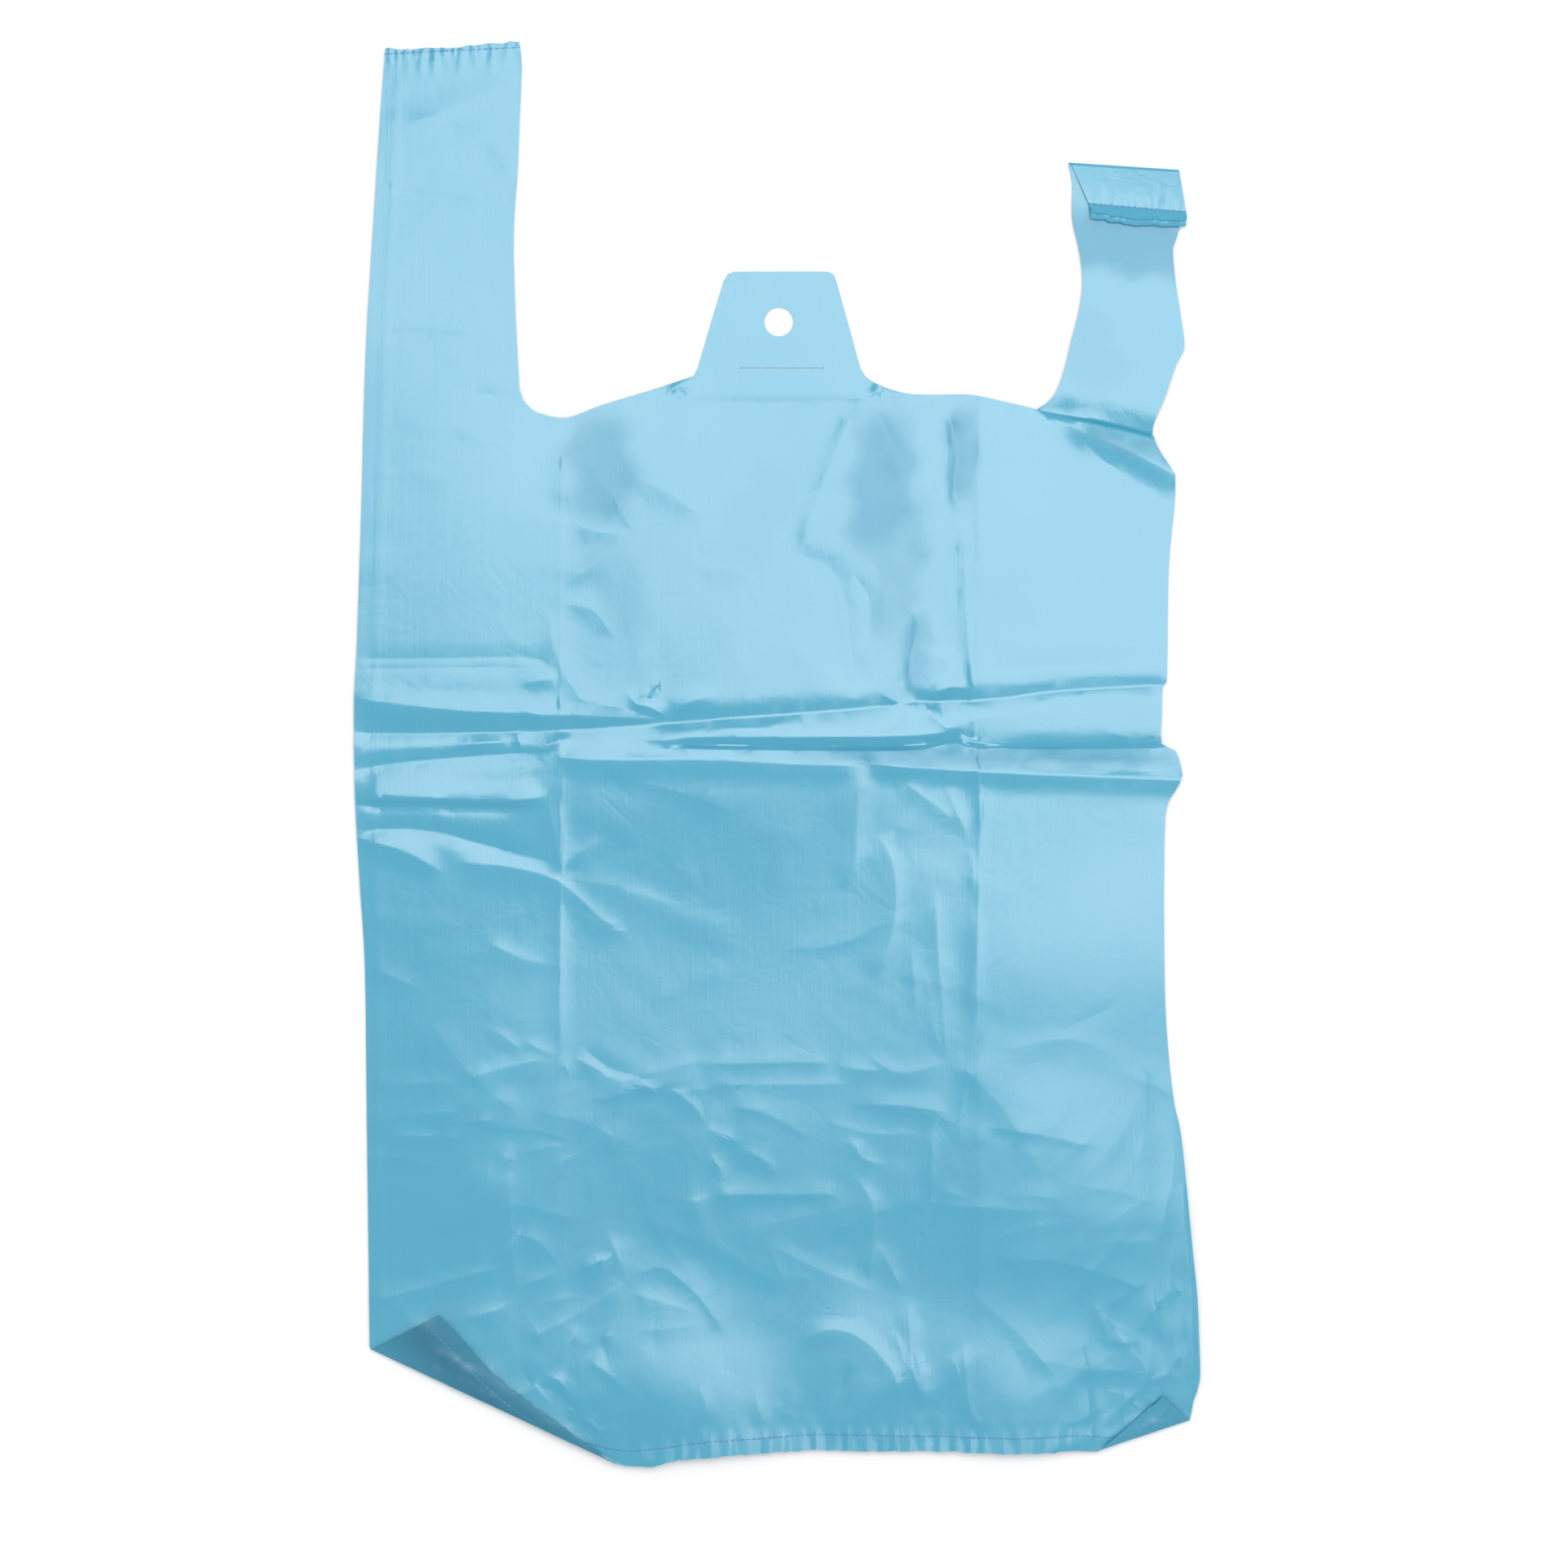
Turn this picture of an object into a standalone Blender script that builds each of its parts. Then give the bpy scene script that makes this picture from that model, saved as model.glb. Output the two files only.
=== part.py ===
# A thin-film carrier bag with two handles and a hanging tab, lying flat on its back.
#
# The bag is one piece of blown film: a tube whose sides are folded inwards as gussets, welded shut along
# the hem and across the tops of the handles, and die-cut through every layer for the mouth, the tab, the
# tab's hole and its slit. The film is drawn thicker than it is, so that each layer is a wall of its own.
# X runs across the bag, Y from the hem to the handles, and Z up from the table.

import math

import bpy
import numpy as np
from mathutils import Vector, geometry

MM = 0.001

# Film and the air between its layers
FILM = 0.15 * MM
LAYER_GAP = 0.20 * MM
PRESSED_GAP = 0.03 * MM
GAP_OPENS_OVER = 12 * MM
GUSSET_STEP = 8 * MM

# Tube
TUBE_WIDTH = 279 * MM
GUSSET_DEPTH = 69 * MM
BODY_LENGTH = 361 * MM
HEM_SKIRT = 5 * MM

# Handles
HANDLE_LENGTH = 130 * MM
HANDLE_ROOT_WIDTH = 54 * MM
HANDLE_TOP_WIDTH = 46 * MM
HANDLE_SKIRT = 2 * MM
RIGHT_HANDLE_WIDTH = 36 * MM
RIGHT_FLAP_LENGTH = 14 * MM
RIGHT_HANDLE_RISE = 86 * MM
FLAP_LEAN = 8.3 * MM
MOUTH_CURVE = 17 * MM

# Tab
TAB_OFFSET = 5.5 * MM
TAB_TOP_WIDTH = 38.6 * MM
TAB_BASE_WIDTH = 59 * MM
TAB_HEIGHT = 36 * MM
TAB_CORNER = 4 * MM
TAB_BASE_RISE = 14.5 * MM
HOLE_DIAMETER = 10 * MM
HOLE_DROP = 17.3 * MM
SLIT_LENGTH = 28.5 * MM
SLIT_WIDTH = 0.5 * MM
SLIT_FLARE = 1.8 * MM
SLIT_DROP = 33.2 * MM
PIN_DIAMETER = 2 * MM
PIN_ACROSS = 21.8 * MM
PIN_DROP = 18.2 * MM

# Corner folds, each measured along the edges that it starts and ends on
CORNER_FOLD_SIDE = 41 * MM
CORNER_FOLD_HEM = 91 * MM
SMALL_FOLD_SIDE = 16 * MM
SMALL_FOLD_HEM = 25 * MM
FOLD_CLEARANCE = 0.35 * MM
FLAP_LIFT = 0.045

# Creases: where the bag was once folded across, and how proud the film stands there
MID_FOLD_HEIGHT = 252 * MM
RIDGE_HEIGHT = 4.2 * MM
RIDGE_FLANK = 5 * MM
SOFT_HEIGHT = 1.6 * MM
SOFT_FLANK = 9 * MM
TAB_LAP = 1.0 * MM
TAB_LAP_LENGTH = 70 * MM
TAB_LAP_DROP = 7.5 * MM
GATHER_PITCH = 10 * MM
GATHER_HEIGHT = 0.9 * MM
GATHER_REACH = 16 * MM
SWELL_HEIGHT = 2.2 * MM

# How finely the film is divided
GRID = 15.5 * MM
EDGE_STEP = 13 * MM
FOOT_ROOM = 0.75
HEM_STEP = GATHER_PITCH / 2
ROLL_SEGMENTS = 4

# Surface
FILM_COLOUR = (0.28, 0.60, 0.78, 1.0)
FILM_ROUGHNESS = 0.38
SHARP_ANGLE = 35

# Unit of the sways and rises below, which are given in millimetres
SWAY = 1 * MM

# Edge sway: how far each side lies outside the straight tube, against the height above the hem as a share
# of the body's length, and above the mouth as a share of the handle's length. Each side starts where the
# hem's edge ends.
LEFT_BODY_SWAY = (
    (0.112, -4.0), (0.48, -2.3), (0.61, 0.5), (0.70, 1.3), (0.78, 0.5), (0.89, -0.9),
)
LEFT_HANDLE_SWAY = ((0.03, -2.0), (0.25, -3.1), (0.57, -5.7), (0.83, -7.9), (1.0, -9.3))
RIGHT_BODY_SWAY = (
    (0.08, 11.1), (0.16, 10.3), (0.24, 7.5), (0.31, 4.7), (0.43, -0.6), (0.56, -1.2),
    (0.622, -0.6), (0.659, 5.0), (0.68, 2.7), (0.69, -2.0), (0.742, -2.0), (0.75, -0.3), (0.86, 0.5),
    (0.92, 2.5), (0.945, 2.5), (0.98, -5.1),
)
RIGHT_HANDLE_SWAY = (
    (0.08, -0.9), (0.22, 3.3), (0.28, 5.8), (0.42, 4.4), (0.56, 2.7), (0.70, 1.9), (0.78, 4.2), (0.97, 3.3),
)
RIGHT_INNER_SWAY = (
    (0.08, -3.5), (0.17, 0.1), (0.32, 3.2), (0.43, 5.7), (0.54, 6.8), (0.66, 5.7), (0.80, 3.2), (1.0, 1.8),
)

# Rise of the hem's cut edge, against the place across the bag as a share of its width
HEM_SWAY = (
    (-0.46, 13.3), (-0.30, 4.5), (-0.173, 0.0), (-0.036, 3.6), (0.066, 5.3), (0.21, 5.6), (0.40, 3.9),
    (0.54, 5.3),
)

# Broad hills in the film: centre and reach, across as shares of half the width and up as shares of the body
HILLS = (
    (-0.30, 0.86, 0.30, 0.10), (0.25, 0.80, 0.25, 0.14), (0.70, 0.50, 0.30, 0.16), (-0.65, 0.52, 0.35, 0.08),
    (-0.20, 0.42, 0.30, 0.12), (0.35, 0.33, 0.28, 0.12), (-0.55, 0.26, 0.30, 0.08), (0.05, 0.16, 0.35, 0.09),
    (0.70, 0.18, 0.26, 0.13),
)


def clear_scene():
    for old in list(bpy.data.objects):
        bpy.data.objects.remove(old, do_unlink=True)


def smooth_through(points, step):
    """Points about a step apart on a smooth curve through the given ones."""
    pts = [np.array(p, float) for p in points]
    ends = [2 * pts[0] - pts[1]] + pts + [2 * pts[-1] - pts[-2]]
    curve = [pts[0]]
    for before, here, there, after in zip(ends, ends[1:], ends[2:], ends[3:]):
        count = max(1, round(float(np.linalg.norm(there - here)) / step))
        for i in range(1, count + 1):
            t = i / count
            curve.append(
                0.5 * (2 * here + (there - before) * t + (2 * before - 5 * here + 4 * there - after) * t**2
                       + (3 * here - before - 3 * there + after) * t**3)
            )
    return [tuple(p) for p in curve]


def straight(start, end, step):
    """Points about a step apart on a straight line, both ends included."""
    start, end = np.array(start, float), np.array(end, float)
    count = max(1, round(float(np.linalg.norm(end - start)) / step))
    return [tuple(start + (end - start) * i / count) for i in range(count + 1)]


def arc(centre, radius, start, end, segments):
    """Points on an arc between two angles in degrees."""
    angles = [math.radians(start + (end - start) * i / segments) for i in range(segments + 1)]
    return [(centre[0] + radius * math.cos(a), centre[1] + radius * math.sin(a)) for a in angles]


def falloff(distance, reach):
    """1 at no distance, easing to 0 at the reach."""
    t = np.clip(1 - np.abs(distance) / reach, 0, 1)
    return t * t * (3 - 2 * t)


def distance_to_line(x, y, line):
    """Distance from each point to a line of straight pieces."""
    nearest = np.full(np.shape(x), np.inf)
    for (ax, ay), (bx, by) in zip(line, line[1:]):
        length = (bx - ax) ** 2 + (by - ay) ** 2
        t = np.clip(((x - ax) * (bx - ax) + (y - ay) * (by - ay)) / length, 0, 1)
        nearest = np.minimum(nearest, np.hypot(x - ax - t * (bx - ax), y - ay - t * (by - ay)))
    return nearest


# The flat outline of the bag, before its corners are folded over

HALF = TUBE_WIDTH / 2
MOUTH_Y = BODY_LENGTH
TAB_BASE_Y = MOUTH_Y + TAB_BASE_RISE
TAB_TOP_Y = TAB_BASE_Y + TAB_HEIGHT
GUSSET_X = HALF - GUSSET_DEPTH


def side_points(sign, sways, base, length):
    return [(sign * (HALF + sway * SWAY), base + share * length) for share, sway in sways]


def right_tip():
    """The outer end of the right handle's top seam, which leans outwards before it is folded down."""
    return (HALF + FLAP_LEAN, MOUTH_Y + RIGHT_HANDLE_RISE + RIGHT_FLAP_LENGTH)


def hem_edge():
    hem = [(share * TUBE_WIDTH, rise * SWAY) for share, rise in HEM_SWAY]
    return smooth_through(hem, HEM_STEP)


def left_side():
    body = side_points(-1, LEFT_BODY_SWAY, 0, BODY_LENGTH)
    handle = side_points(-1, LEFT_HANDLE_SWAY, MOUTH_Y, HANDLE_LENGTH)
    return smooth_through([hem_edge()[0]] + body + handle, EDGE_STEP)


def right_side():
    body = side_points(1, RIGHT_BODY_SWAY, 0, BODY_LENGTH)
    handle = side_points(1, RIGHT_HANDLE_SWAY, MOUTH_Y, RIGHT_HANDLE_RISE)
    edge = smooth_through([hem_edge()[-1]] + body + handle, EDGE_STEP)
    return edge + straight(handle[-1], right_tip(), EDGE_STEP)[1:]


def right_inner_edge():
    """The die-cut edge of the right handle, from its root to its top."""
    line = [
        (HALF - RIGHT_HANDLE_WIDTH + sway * SWAY, MOUTH_Y + share * RIGHT_HANDLE_RISE)
        for share, sway in RIGHT_INNER_SWAY
    ]
    tip = (right_tip()[0] - RIGHT_HANDLE_WIDTH, right_tip()[1])
    return smooth_through(line, EDGE_STEP) + straight(line[-1], tip, EDGE_STEP)[1:]


def left_inner_edge():
    """The die-cut edge of the left handle, from the curve at its root to its top."""
    root_x = -HALF + HANDLE_ROOT_WIDTH
    top_x = left_side()[-1][0] + HANDLE_TOP_WIDTH
    middle_x = (root_x + top_x) / 2 - SWAY
    top_y = MOUTH_Y + HANDLE_LENGTH
    return smooth_through(
        [(root_x, MOUTH_Y + 0.6 * MOUTH_CURVE), (middle_x, MOUTH_Y + HANDLE_LENGTH / 2), (top_x, top_y)], EDGE_STEP
    )


def left_mouth():
    """The mouth's edge from the tab down to the left handle."""
    base_x = TAB_OFFSET - TAB_BASE_WIDTH / 2
    root_x = -HALF + HANDLE_ROOT_WIDTH
    low_x = root_x + MOUTH_CURVE
    slope = [(base_x + (low_x - base_x) * a, TAB_BASE_Y - TAB_BASE_RISE * a) for a in (0, 0.4, 0.8)]
    curve = [(low_x, MOUTH_Y), (root_x + 0.25 * MOUTH_CURVE, MOUTH_Y + 0.17 * MOUTH_CURVE), left_inner_edge()[0]]
    return smooth_through(slope + curve, EDGE_STEP / 2)


def right_mouth():
    """The mouth's edge from the right handle up to the tab."""
    base_x = TAB_OFFSET + TAB_BASE_WIDTH / 2
    root = right_inner_edge()[0]
    low = (root[0] - 0.3 * MOUTH_CURVE, MOUTH_Y + 0.16 * MOUTH_CURVE)
    reach, rise = base_x - low[0], TAB_BASE_Y - low[1]
    shelf = [(low[0] + reach * a, low[1] + rise * b) for a, b in ((0.4, 0.45), (0.76, 0.5))]
    return smooth_through([root, low] + shelf + [(base_x, TAB_BASE_Y)], EDGE_STEP)


def tab_edge():
    """The tab's edge from its right base over its rounded top to its left base."""
    lean = math.degrees(math.atan2((TAB_BASE_WIDTH - TAB_TOP_WIDTH) / 2, TAB_HEIGHT))
    centre_x = TAB_TOP_WIDTH / 2 - TAB_CORNER * math.tan(math.radians(45 - lean / 2))
    centre_y = TAB_TOP_Y - TAB_CORNER
    right = arc((TAB_OFFSET + centre_x, centre_y), TAB_CORNER, lean, 90, 4)
    left = arc((TAB_OFFSET - centre_x, centre_y), TAB_CORNER, 90, 180 - lean, 4)
    bases = [(TAB_OFFSET + side * TAB_BASE_WIDTH / 2, TAB_BASE_Y) for side in (1, -1)]
    up = straight(bases[0], right[0], EDGE_STEP)[:-1]
    down = straight(left[-1], bases[1], EDGE_STEP)[1:]
    return up + right + left + down


def outline():
    """Every edge of the flat bag, counter-clockwise, as (kind, points): a side is a fold, the rest are cut."""
    right_end = right_inner_edge()[-1]
    left_end = left_side()[-1]
    return [
        ("cut", hem_edge()),
        ("side", right_side()),
        ("cut", straight(right_side()[-1], right_end, HEM_STEP)),
        ("cut", right_inner_edge()[::-1]),
        ("cut", right_mouth()),
        ("cut", tab_edge()),
        ("cut", left_mouth()),
        ("cut", left_inner_edge()),
        ("cut", straight(left_inner_edge()[-1], left_end, HEM_STEP)),
        ("side", left_side()[::-1]),
    ]


def holes():
    """The hanging hole, and the slit that the bag tears off along, flared at its ends."""
    hole = arc((TAB_OFFSET, TAB_TOP_Y - HOLE_DROP), HOLE_DIAMETER / 2, 0, 360, 20)[:-1]
    half, y = SLIT_LENGTH / 2, TAB_TOP_Y - SLIT_DROP
    thin, flare = SLIT_WIDTH / 2, SLIT_FLARE / 2
    neck = half - SLIT_FLARE / 2
    slit = [(-half, -flare), (-neck, -thin), (neck, -thin), (half, -flare)]
    slit += [(-a, -b) for a, b in slit]
    return [hole, [(TAB_OFFSET + a, y + b) for a, b in slit]]


# Welds, as lines across the bag: the film is one thickness beyond them

def hem_weld():
    return [(x, y + HEM_SKIRT) for x, y in hem_edge()]


def hem_weld_y(x):
    line = np.array(hem_weld())
    return np.interp(x, line[:, 0], line[:, 1])


def handle_welds():
    left = MOUTH_Y + HANDLE_LENGTH - HANDLE_SKIRT
    right = right_tip()[1] - HANDLE_SKIRT
    far, near = HALF + MOUTH_CURVE, HALF / 2
    return [straight((-far, left), (-near, left), HEM_STEP), straight((near, right), (far, right), HEM_STEP)]


def pin_spot():
    return arc((TAB_OFFSET + PIN_ACROSS, TAB_TOP_Y - PIN_DROP), PIN_DIAMETER / 2, 0, 360, 8)[:-1]


# Folded corners: each is rolled over a line, and the film on the line's right goes up and over. A fold
# reaches no further than the middle of the bag.

STACK = 4 * FILM + 3 * LAYER_GAP
ROLL = STACK + FOLD_CLEARANCE


def corner_folds():
    hem = hem_edge()
    hem_x = -HALF + CORNER_FOLD_HEM
    hem_y = float(np.interp(hem_x, [x for x, _ in hem], [y for _, y in hem]))
    top_y = MOUTH_Y + RIGHT_HANDLE_RISE
    return [
        ((-HALF, CORNER_FOLD_SIDE), (hem_x, hem_y)),
        ((HALF - SMALL_FOLD_HEM, HEM_SKIRT / 2), (HALF + SMALL_FOLD_HEM / 3, SMALL_FOLD_SIDE)),
        ((HALF, top_y), (HALF - RIGHT_HANDLE_WIDTH, top_y)),
    ]


def fold_frame(fold):
    """A fold's direction, and the direction that its flap lies in before it is folded."""
    (ax, ay), (bx, by) = fold
    length = math.hypot(bx - ax, by - ay)
    along = ((bx - ax) / length, (by - ay) / length)
    return along, (along[1], -along[0])


def roll_over(x, y, z, fold):
    """The film beyond a fold line, rolled up round the line and laid over the rest."""
    (ax, ay), _ = fold
    _, (nx, ny) = fold_frame(fold)
    past = np.where(x * ax > 0, (x - ax) * nx + (y - ay) * ny, 0)
    turn = np.clip(past / ROLL, 0, math.pi)
    rolled = (ROLL - z) * np.sin(turn)
    beyond = past - math.pi * ROLL
    new_past = np.where(past <= 0, past, np.where(beyond > 0, -beyond, rolled))
    lift = FLAP_LIFT * np.clip(beyond, 0, None)
    new_z = np.where(past <= 0, z, ROLL - (ROLL - z) * np.cos(turn) + lift)
    return x + (new_past - past) * nx, y + (new_past - past) * ny, new_z


def fold_rows():
    """Lines along each fold for its roll to bend at."""
    rows = []
    for fold in corner_folds():
        (ax, ay), (bx, by) = fold
        (dx, dy), (nx, ny) = fold_frame(fold)
        over = math.pi * ROLL
        for i in range(ROLL_SEGMENTS + 1):
            off = over * i / ROLL_SEGMENTS
            start = (ax - dx * over + nx * off, ay - dy * over + ny * off)
            end = (bx + dx * over + nx * off, by + dy * over + ny * off)
            rows.append(straight(start, end, GRID))
    return rows


# Relief: ridges left where the bag was folded for packing, gathers along the welds, and soft swells

def mid_folds():
    """The band of ridges across the middle, as (line, height, flank)."""
    upper = [(-1.02, 11.8), (-0.60, 6.2), (-0.26, 4.2)]
    middle = [(-1.02, 0.3), (-0.72, 0.3), (-0.22, 4.5), (0.04, 6.4), (0.40, 10.6), (1.02, 16.5)]
    lower = [(-1.02, -12.0), (-0.68, -7.8), (-0.50, -9.5), (0.28, -10.5), (0.57, -12.9), (1.04, -16.0)]
    soft_upper = [(-1.02, 23.8), (-0.60, 24.0), (-0.50, 21.0)]
    soft_lower = [(-1.02, -24.0), (-0.55, -22.6)]
    sharp = [(line, RIDGE_HEIGHT, RIDGE_FLANK) for line in (upper, middle, lower)]
    soft = [(line, SOFT_HEIGHT, SOFT_FLANK) for line in (soft_upper, soft_lower)]
    return [
        ([(share * HALF, MID_FOLD_HEIGHT + rise * SWAY) for share, rise in line], height, flank)
        for line, height, flank in sharp + soft
    ]


def handle_creases():
    """The two creases that the right handle leans over at."""
    x, y = right_inner_edge()[0]
    upper = [(x, y), (HALF + SWAY, MOUTH_Y - 6 * SWAY)]
    lower = [
        (x + 2 * SWAY, y - 4 * SWAY), (HALF - 9 * SWAY, MOUTH_Y - 13 * SWAY), (HALF + 3 * SWAY, MOUTH_Y - 20 * SWAY)
    ]
    return [(upper, RIDGE_HEIGHT, RIDGE_FLANK), (lower, RIDGE_HEIGHT, RIDGE_FLANK)]


def swells(x, y):
    """Broad soft hills where the film stands off the table."""
    height = 0
    for across, up, reach_x, reach_y in HILLS:
        far = np.hypot((x / HALF - across) / reach_x, (y / BODY_LENGTH - up) / reach_y)
        height = height + SWELL_HEIGHT * falloff(far, 1)
    return height


def gathers(x, y):
    """Small folds that the welds draw up, with a crest at each second point of the hem."""
    wave = 0.5 - 0.5 * np.cos(2 * math.pi * x / GATHER_PITCH)
    left, right = (line[0][1] for line in handle_welds())
    folded_right = 2 * (MOUTH_Y + RIGHT_HANDLE_RISE) - right + math.pi * ROLL
    top = np.where(x < 0, left, folded_right)
    near = np.maximum(falloff(y - hem_weld_y(x), GATHER_REACH), falloff(y - top, GATHER_REACH))
    return GATHER_HEIGHT * wave * np.where(np.abs(x) > HALF / 2, near, falloff(y - hem_weld_y(x), GATHER_REACH))


def relief(x, y):
    """How high the film stands off the table."""
    height = swells(x, y) + gathers(x, y)
    sharp = 0
    for line, rise, flank in mid_folds() + handle_creases():
        sharp = np.maximum(sharp, rise * np.clip(1 - distance_to_line(x, y, line) / flank, 0, 1))
    lap_y = TAB_BASE_Y - TAB_LAP_DROP
    lap = falloff(x - TAB_OFFSET, TAB_LAP_LENGTH) * falloff(np.minimum(y - lap_y, 0), GATHER_REACH)
    return height + sharp + TAB_LAP * np.where(y < lap_y, lap, 0)


# The layered film

# Film, or air, between each two of the eight levels from the back panel's outside to the front panel's
ALL_LAYERS = (1, 0, 1, 0, 1, 0, 1)
PANELS_ONLY = (1, 0, 0, 0, 0, 0, 1)
WELDED = (1, 1, 1, 1, 1, 1, 1)
LEVELS = 8


def level_height(level, x, y):
    """Height of a level over the flat table: the gaps close towards the welds, and the middle has no gusset."""
    far = np.minimum(y - hem_weld_y(x), GAP_OPENS_OVER)
    for line in handle_welds():
        beside = (x > line[0][0]) & (x < line[-1][0])
        far = np.where(beside, np.minimum(far, np.abs(line[0][1] - y)), far)
    gap = PRESSED_GAP + (LAYER_GAP - PRESSED_GAP) * np.clip(far / GAP_OPENS_OVER, 0, 1)
    films, gaps = (level + 1) // 2, level // 2
    height = films * FILM + gaps * gap
    if level >= LEVELS - 2:
        middle = np.clip((GUSSET_X - np.abs(x)) / GUSSET_STEP, 0, 1)
        height = height - middle * 2 * (FILM + gap)
    return height


def inside(points, ring):
    """Which of the points lie inside a closed ring."""
    x, y = points[:, 0], points[:, 1]
    result = np.zeros(len(points), bool)
    for (ax, ay), (bx, by) in zip(ring, ring[1:] + ring[:1]):
        crosses = (ay > y) != (by > y)
        with np.errstate(divide="ignore", invalid="ignore"):
            result ^= crosses & (x < (bx - ax) * (y - ay) / (by - ay) + ax)
    return result


class FlatMesh:
    """The flat bag divided into triangles that keep to its edges, folds, welds and creases."""

    def __init__(self):
        self.points, self.edges, self.kinds = [], [], []

    def add(self, kind, line, closed=False):
        first = len(self.points)
        self.points += line
        count = len(line)
        pairs = [(first + i, first + (i + 1) % count) for i in range(count if closed else count - 1)]
        self.edges += pairs
        self.kinds += [kind] * len(pairs)

    def ridges(self, ridges):
        """The crest of each ridge, and its two feet where they are clear of the other crests."""
        crests = [line for line, _, _ in ridges]
        for crest in crests:
            self.add("crease", crest)
        for line, _, reach in ridges:
            ways = np.gradient(np.array(line), axis=0)
            normals = np.column_stack([-ways[:, 1], ways[:, 0]]) / np.linalg.norm(ways, axis=1)[:, None]
            for side in (-1, 1):
                foot = np.array(line) + side * reach * normals
                near = np.min([distance_to_line(foot[:, 0], foot[:, 1], crest) for crest in crests], axis=0)
                run = []
                for point, room in zip(foot, near):
                    if room > FOOT_ROOM * reach:
                        run.append(tuple(point))
                        continue
                    self.add("crease", run)
                    run = []
                self.add("crease", run)

    def clear(self, points, room, ring):
        """The points that lie inside the bag and have this much room to every line."""
        points = points[inside(points, ring)]
        for a, b in self.edges:
            far = distance_to_line(points[:, 0], points[:, 1], [self.points[a], self.points[b]])
            points = points[far > room]
        return points

    def fill(self, ring):
        """Points on a staggered grid, kept clear of the lines."""
        lines = np.array(self.points)
        low, high = lines.min(axis=0), lines.max(axis=0)
        rows = int((high[1] - low[1]) / (GRID * math.sqrt(0.75)))
        grid = [
            (low[0] + (i + 0.5 * (j % 2)) * GRID, low[1] + (j + 0.5) * GRID * math.sqrt(0.75))
            for j in range(rows)
            for i in range(int((high[0] - low[0]) / GRID) + 1)
        ]
        grid = self.clear(np.array(grid), 0.5 * GRID, ring)
        self.points += [tuple(p) for p in grid]

    def divide(self):
        coords = [Vector(p) for p in self.points]
        points, edges, faces, _, sources, _ = geometry.delaunay_2d_cdt(coords, self.edges, [], 0, 1e-6)
        kinds = {}
        for edge, source in zip(edges, sources):
            kinds[tuple(sorted(edge))] = {self.kinds[i] for i in source}
        return np.array([(p.x, p.y) for p in points]), [tuple(f) for f in faces], kinds


def flat_bag():
    mesh = FlatMesh()
    ring = []
    for kind, line in outline():
        mesh.add(kind, line)
        ring += line[:-1]
    for hole in holes():
        mesh.add("cut", hole, closed=True)
    mesh.add("weld", pin_spot(), closed=True)
    mesh.add("weld", hem_weld())
    for line in handle_welds():
        mesh.add("weld", line)
    for side in (-1, 1):
        mesh.add("gusset", straight((side * GUSSET_X, -GRID), (side * GUSSET_X, MOUTH_Y + GRID), GRID))
    for line in fold_rows():
        mesh.add("roll", line)
    ridges = [(smooth_through(line, GRID), rise, flank) for line, rise, flank in mid_folds() + handle_creases()]
    mesh.ridges(ridges)
    mesh.fill(ring)
    points, faces, kinds = mesh.divide()
    centres = np.array([points[list(f)].mean(axis=0) for f in faces])
    keep = inside(centres, ring)
    for hole in holes():
        keep &= ~inside(centres, hole)
    return points, [f for f, k in zip(faces, keep) if k], centres[keep], kinds


def layers_at(centres):
    """The layering of each triangle of the flat bag."""
    x, y = centres[:, 0], centres[:, 1]
    left, right = handle_welds()
    welded = (y < hem_weld_y(x)) | inside(centres, pin_spot())
    welded |= ((x < 0) & (y > left[0][1])) | ((x > HALF / 2) & (y > right[0][1]))
    gusseted = np.abs(x) > GUSSET_X
    return [WELDED if w else ALL_LAYERS if g else PANELS_ONLY for w, g in zip(welded, gusseted)]


def film_runs(layers, other, closed):
    """The stretches of levels that are film on one side of a wall and air on the other."""
    film = [(here or gap in closed) and not there for gap, (here, there) in enumerate(zip(layers, other))]
    runs, start = [], None
    for gap, is_film in enumerate(film + [False]):
        if is_film and start is None:
            start = gap
        if not is_film and start is not None:
            runs.append((start, gap))
            start = None
    return runs


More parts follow.
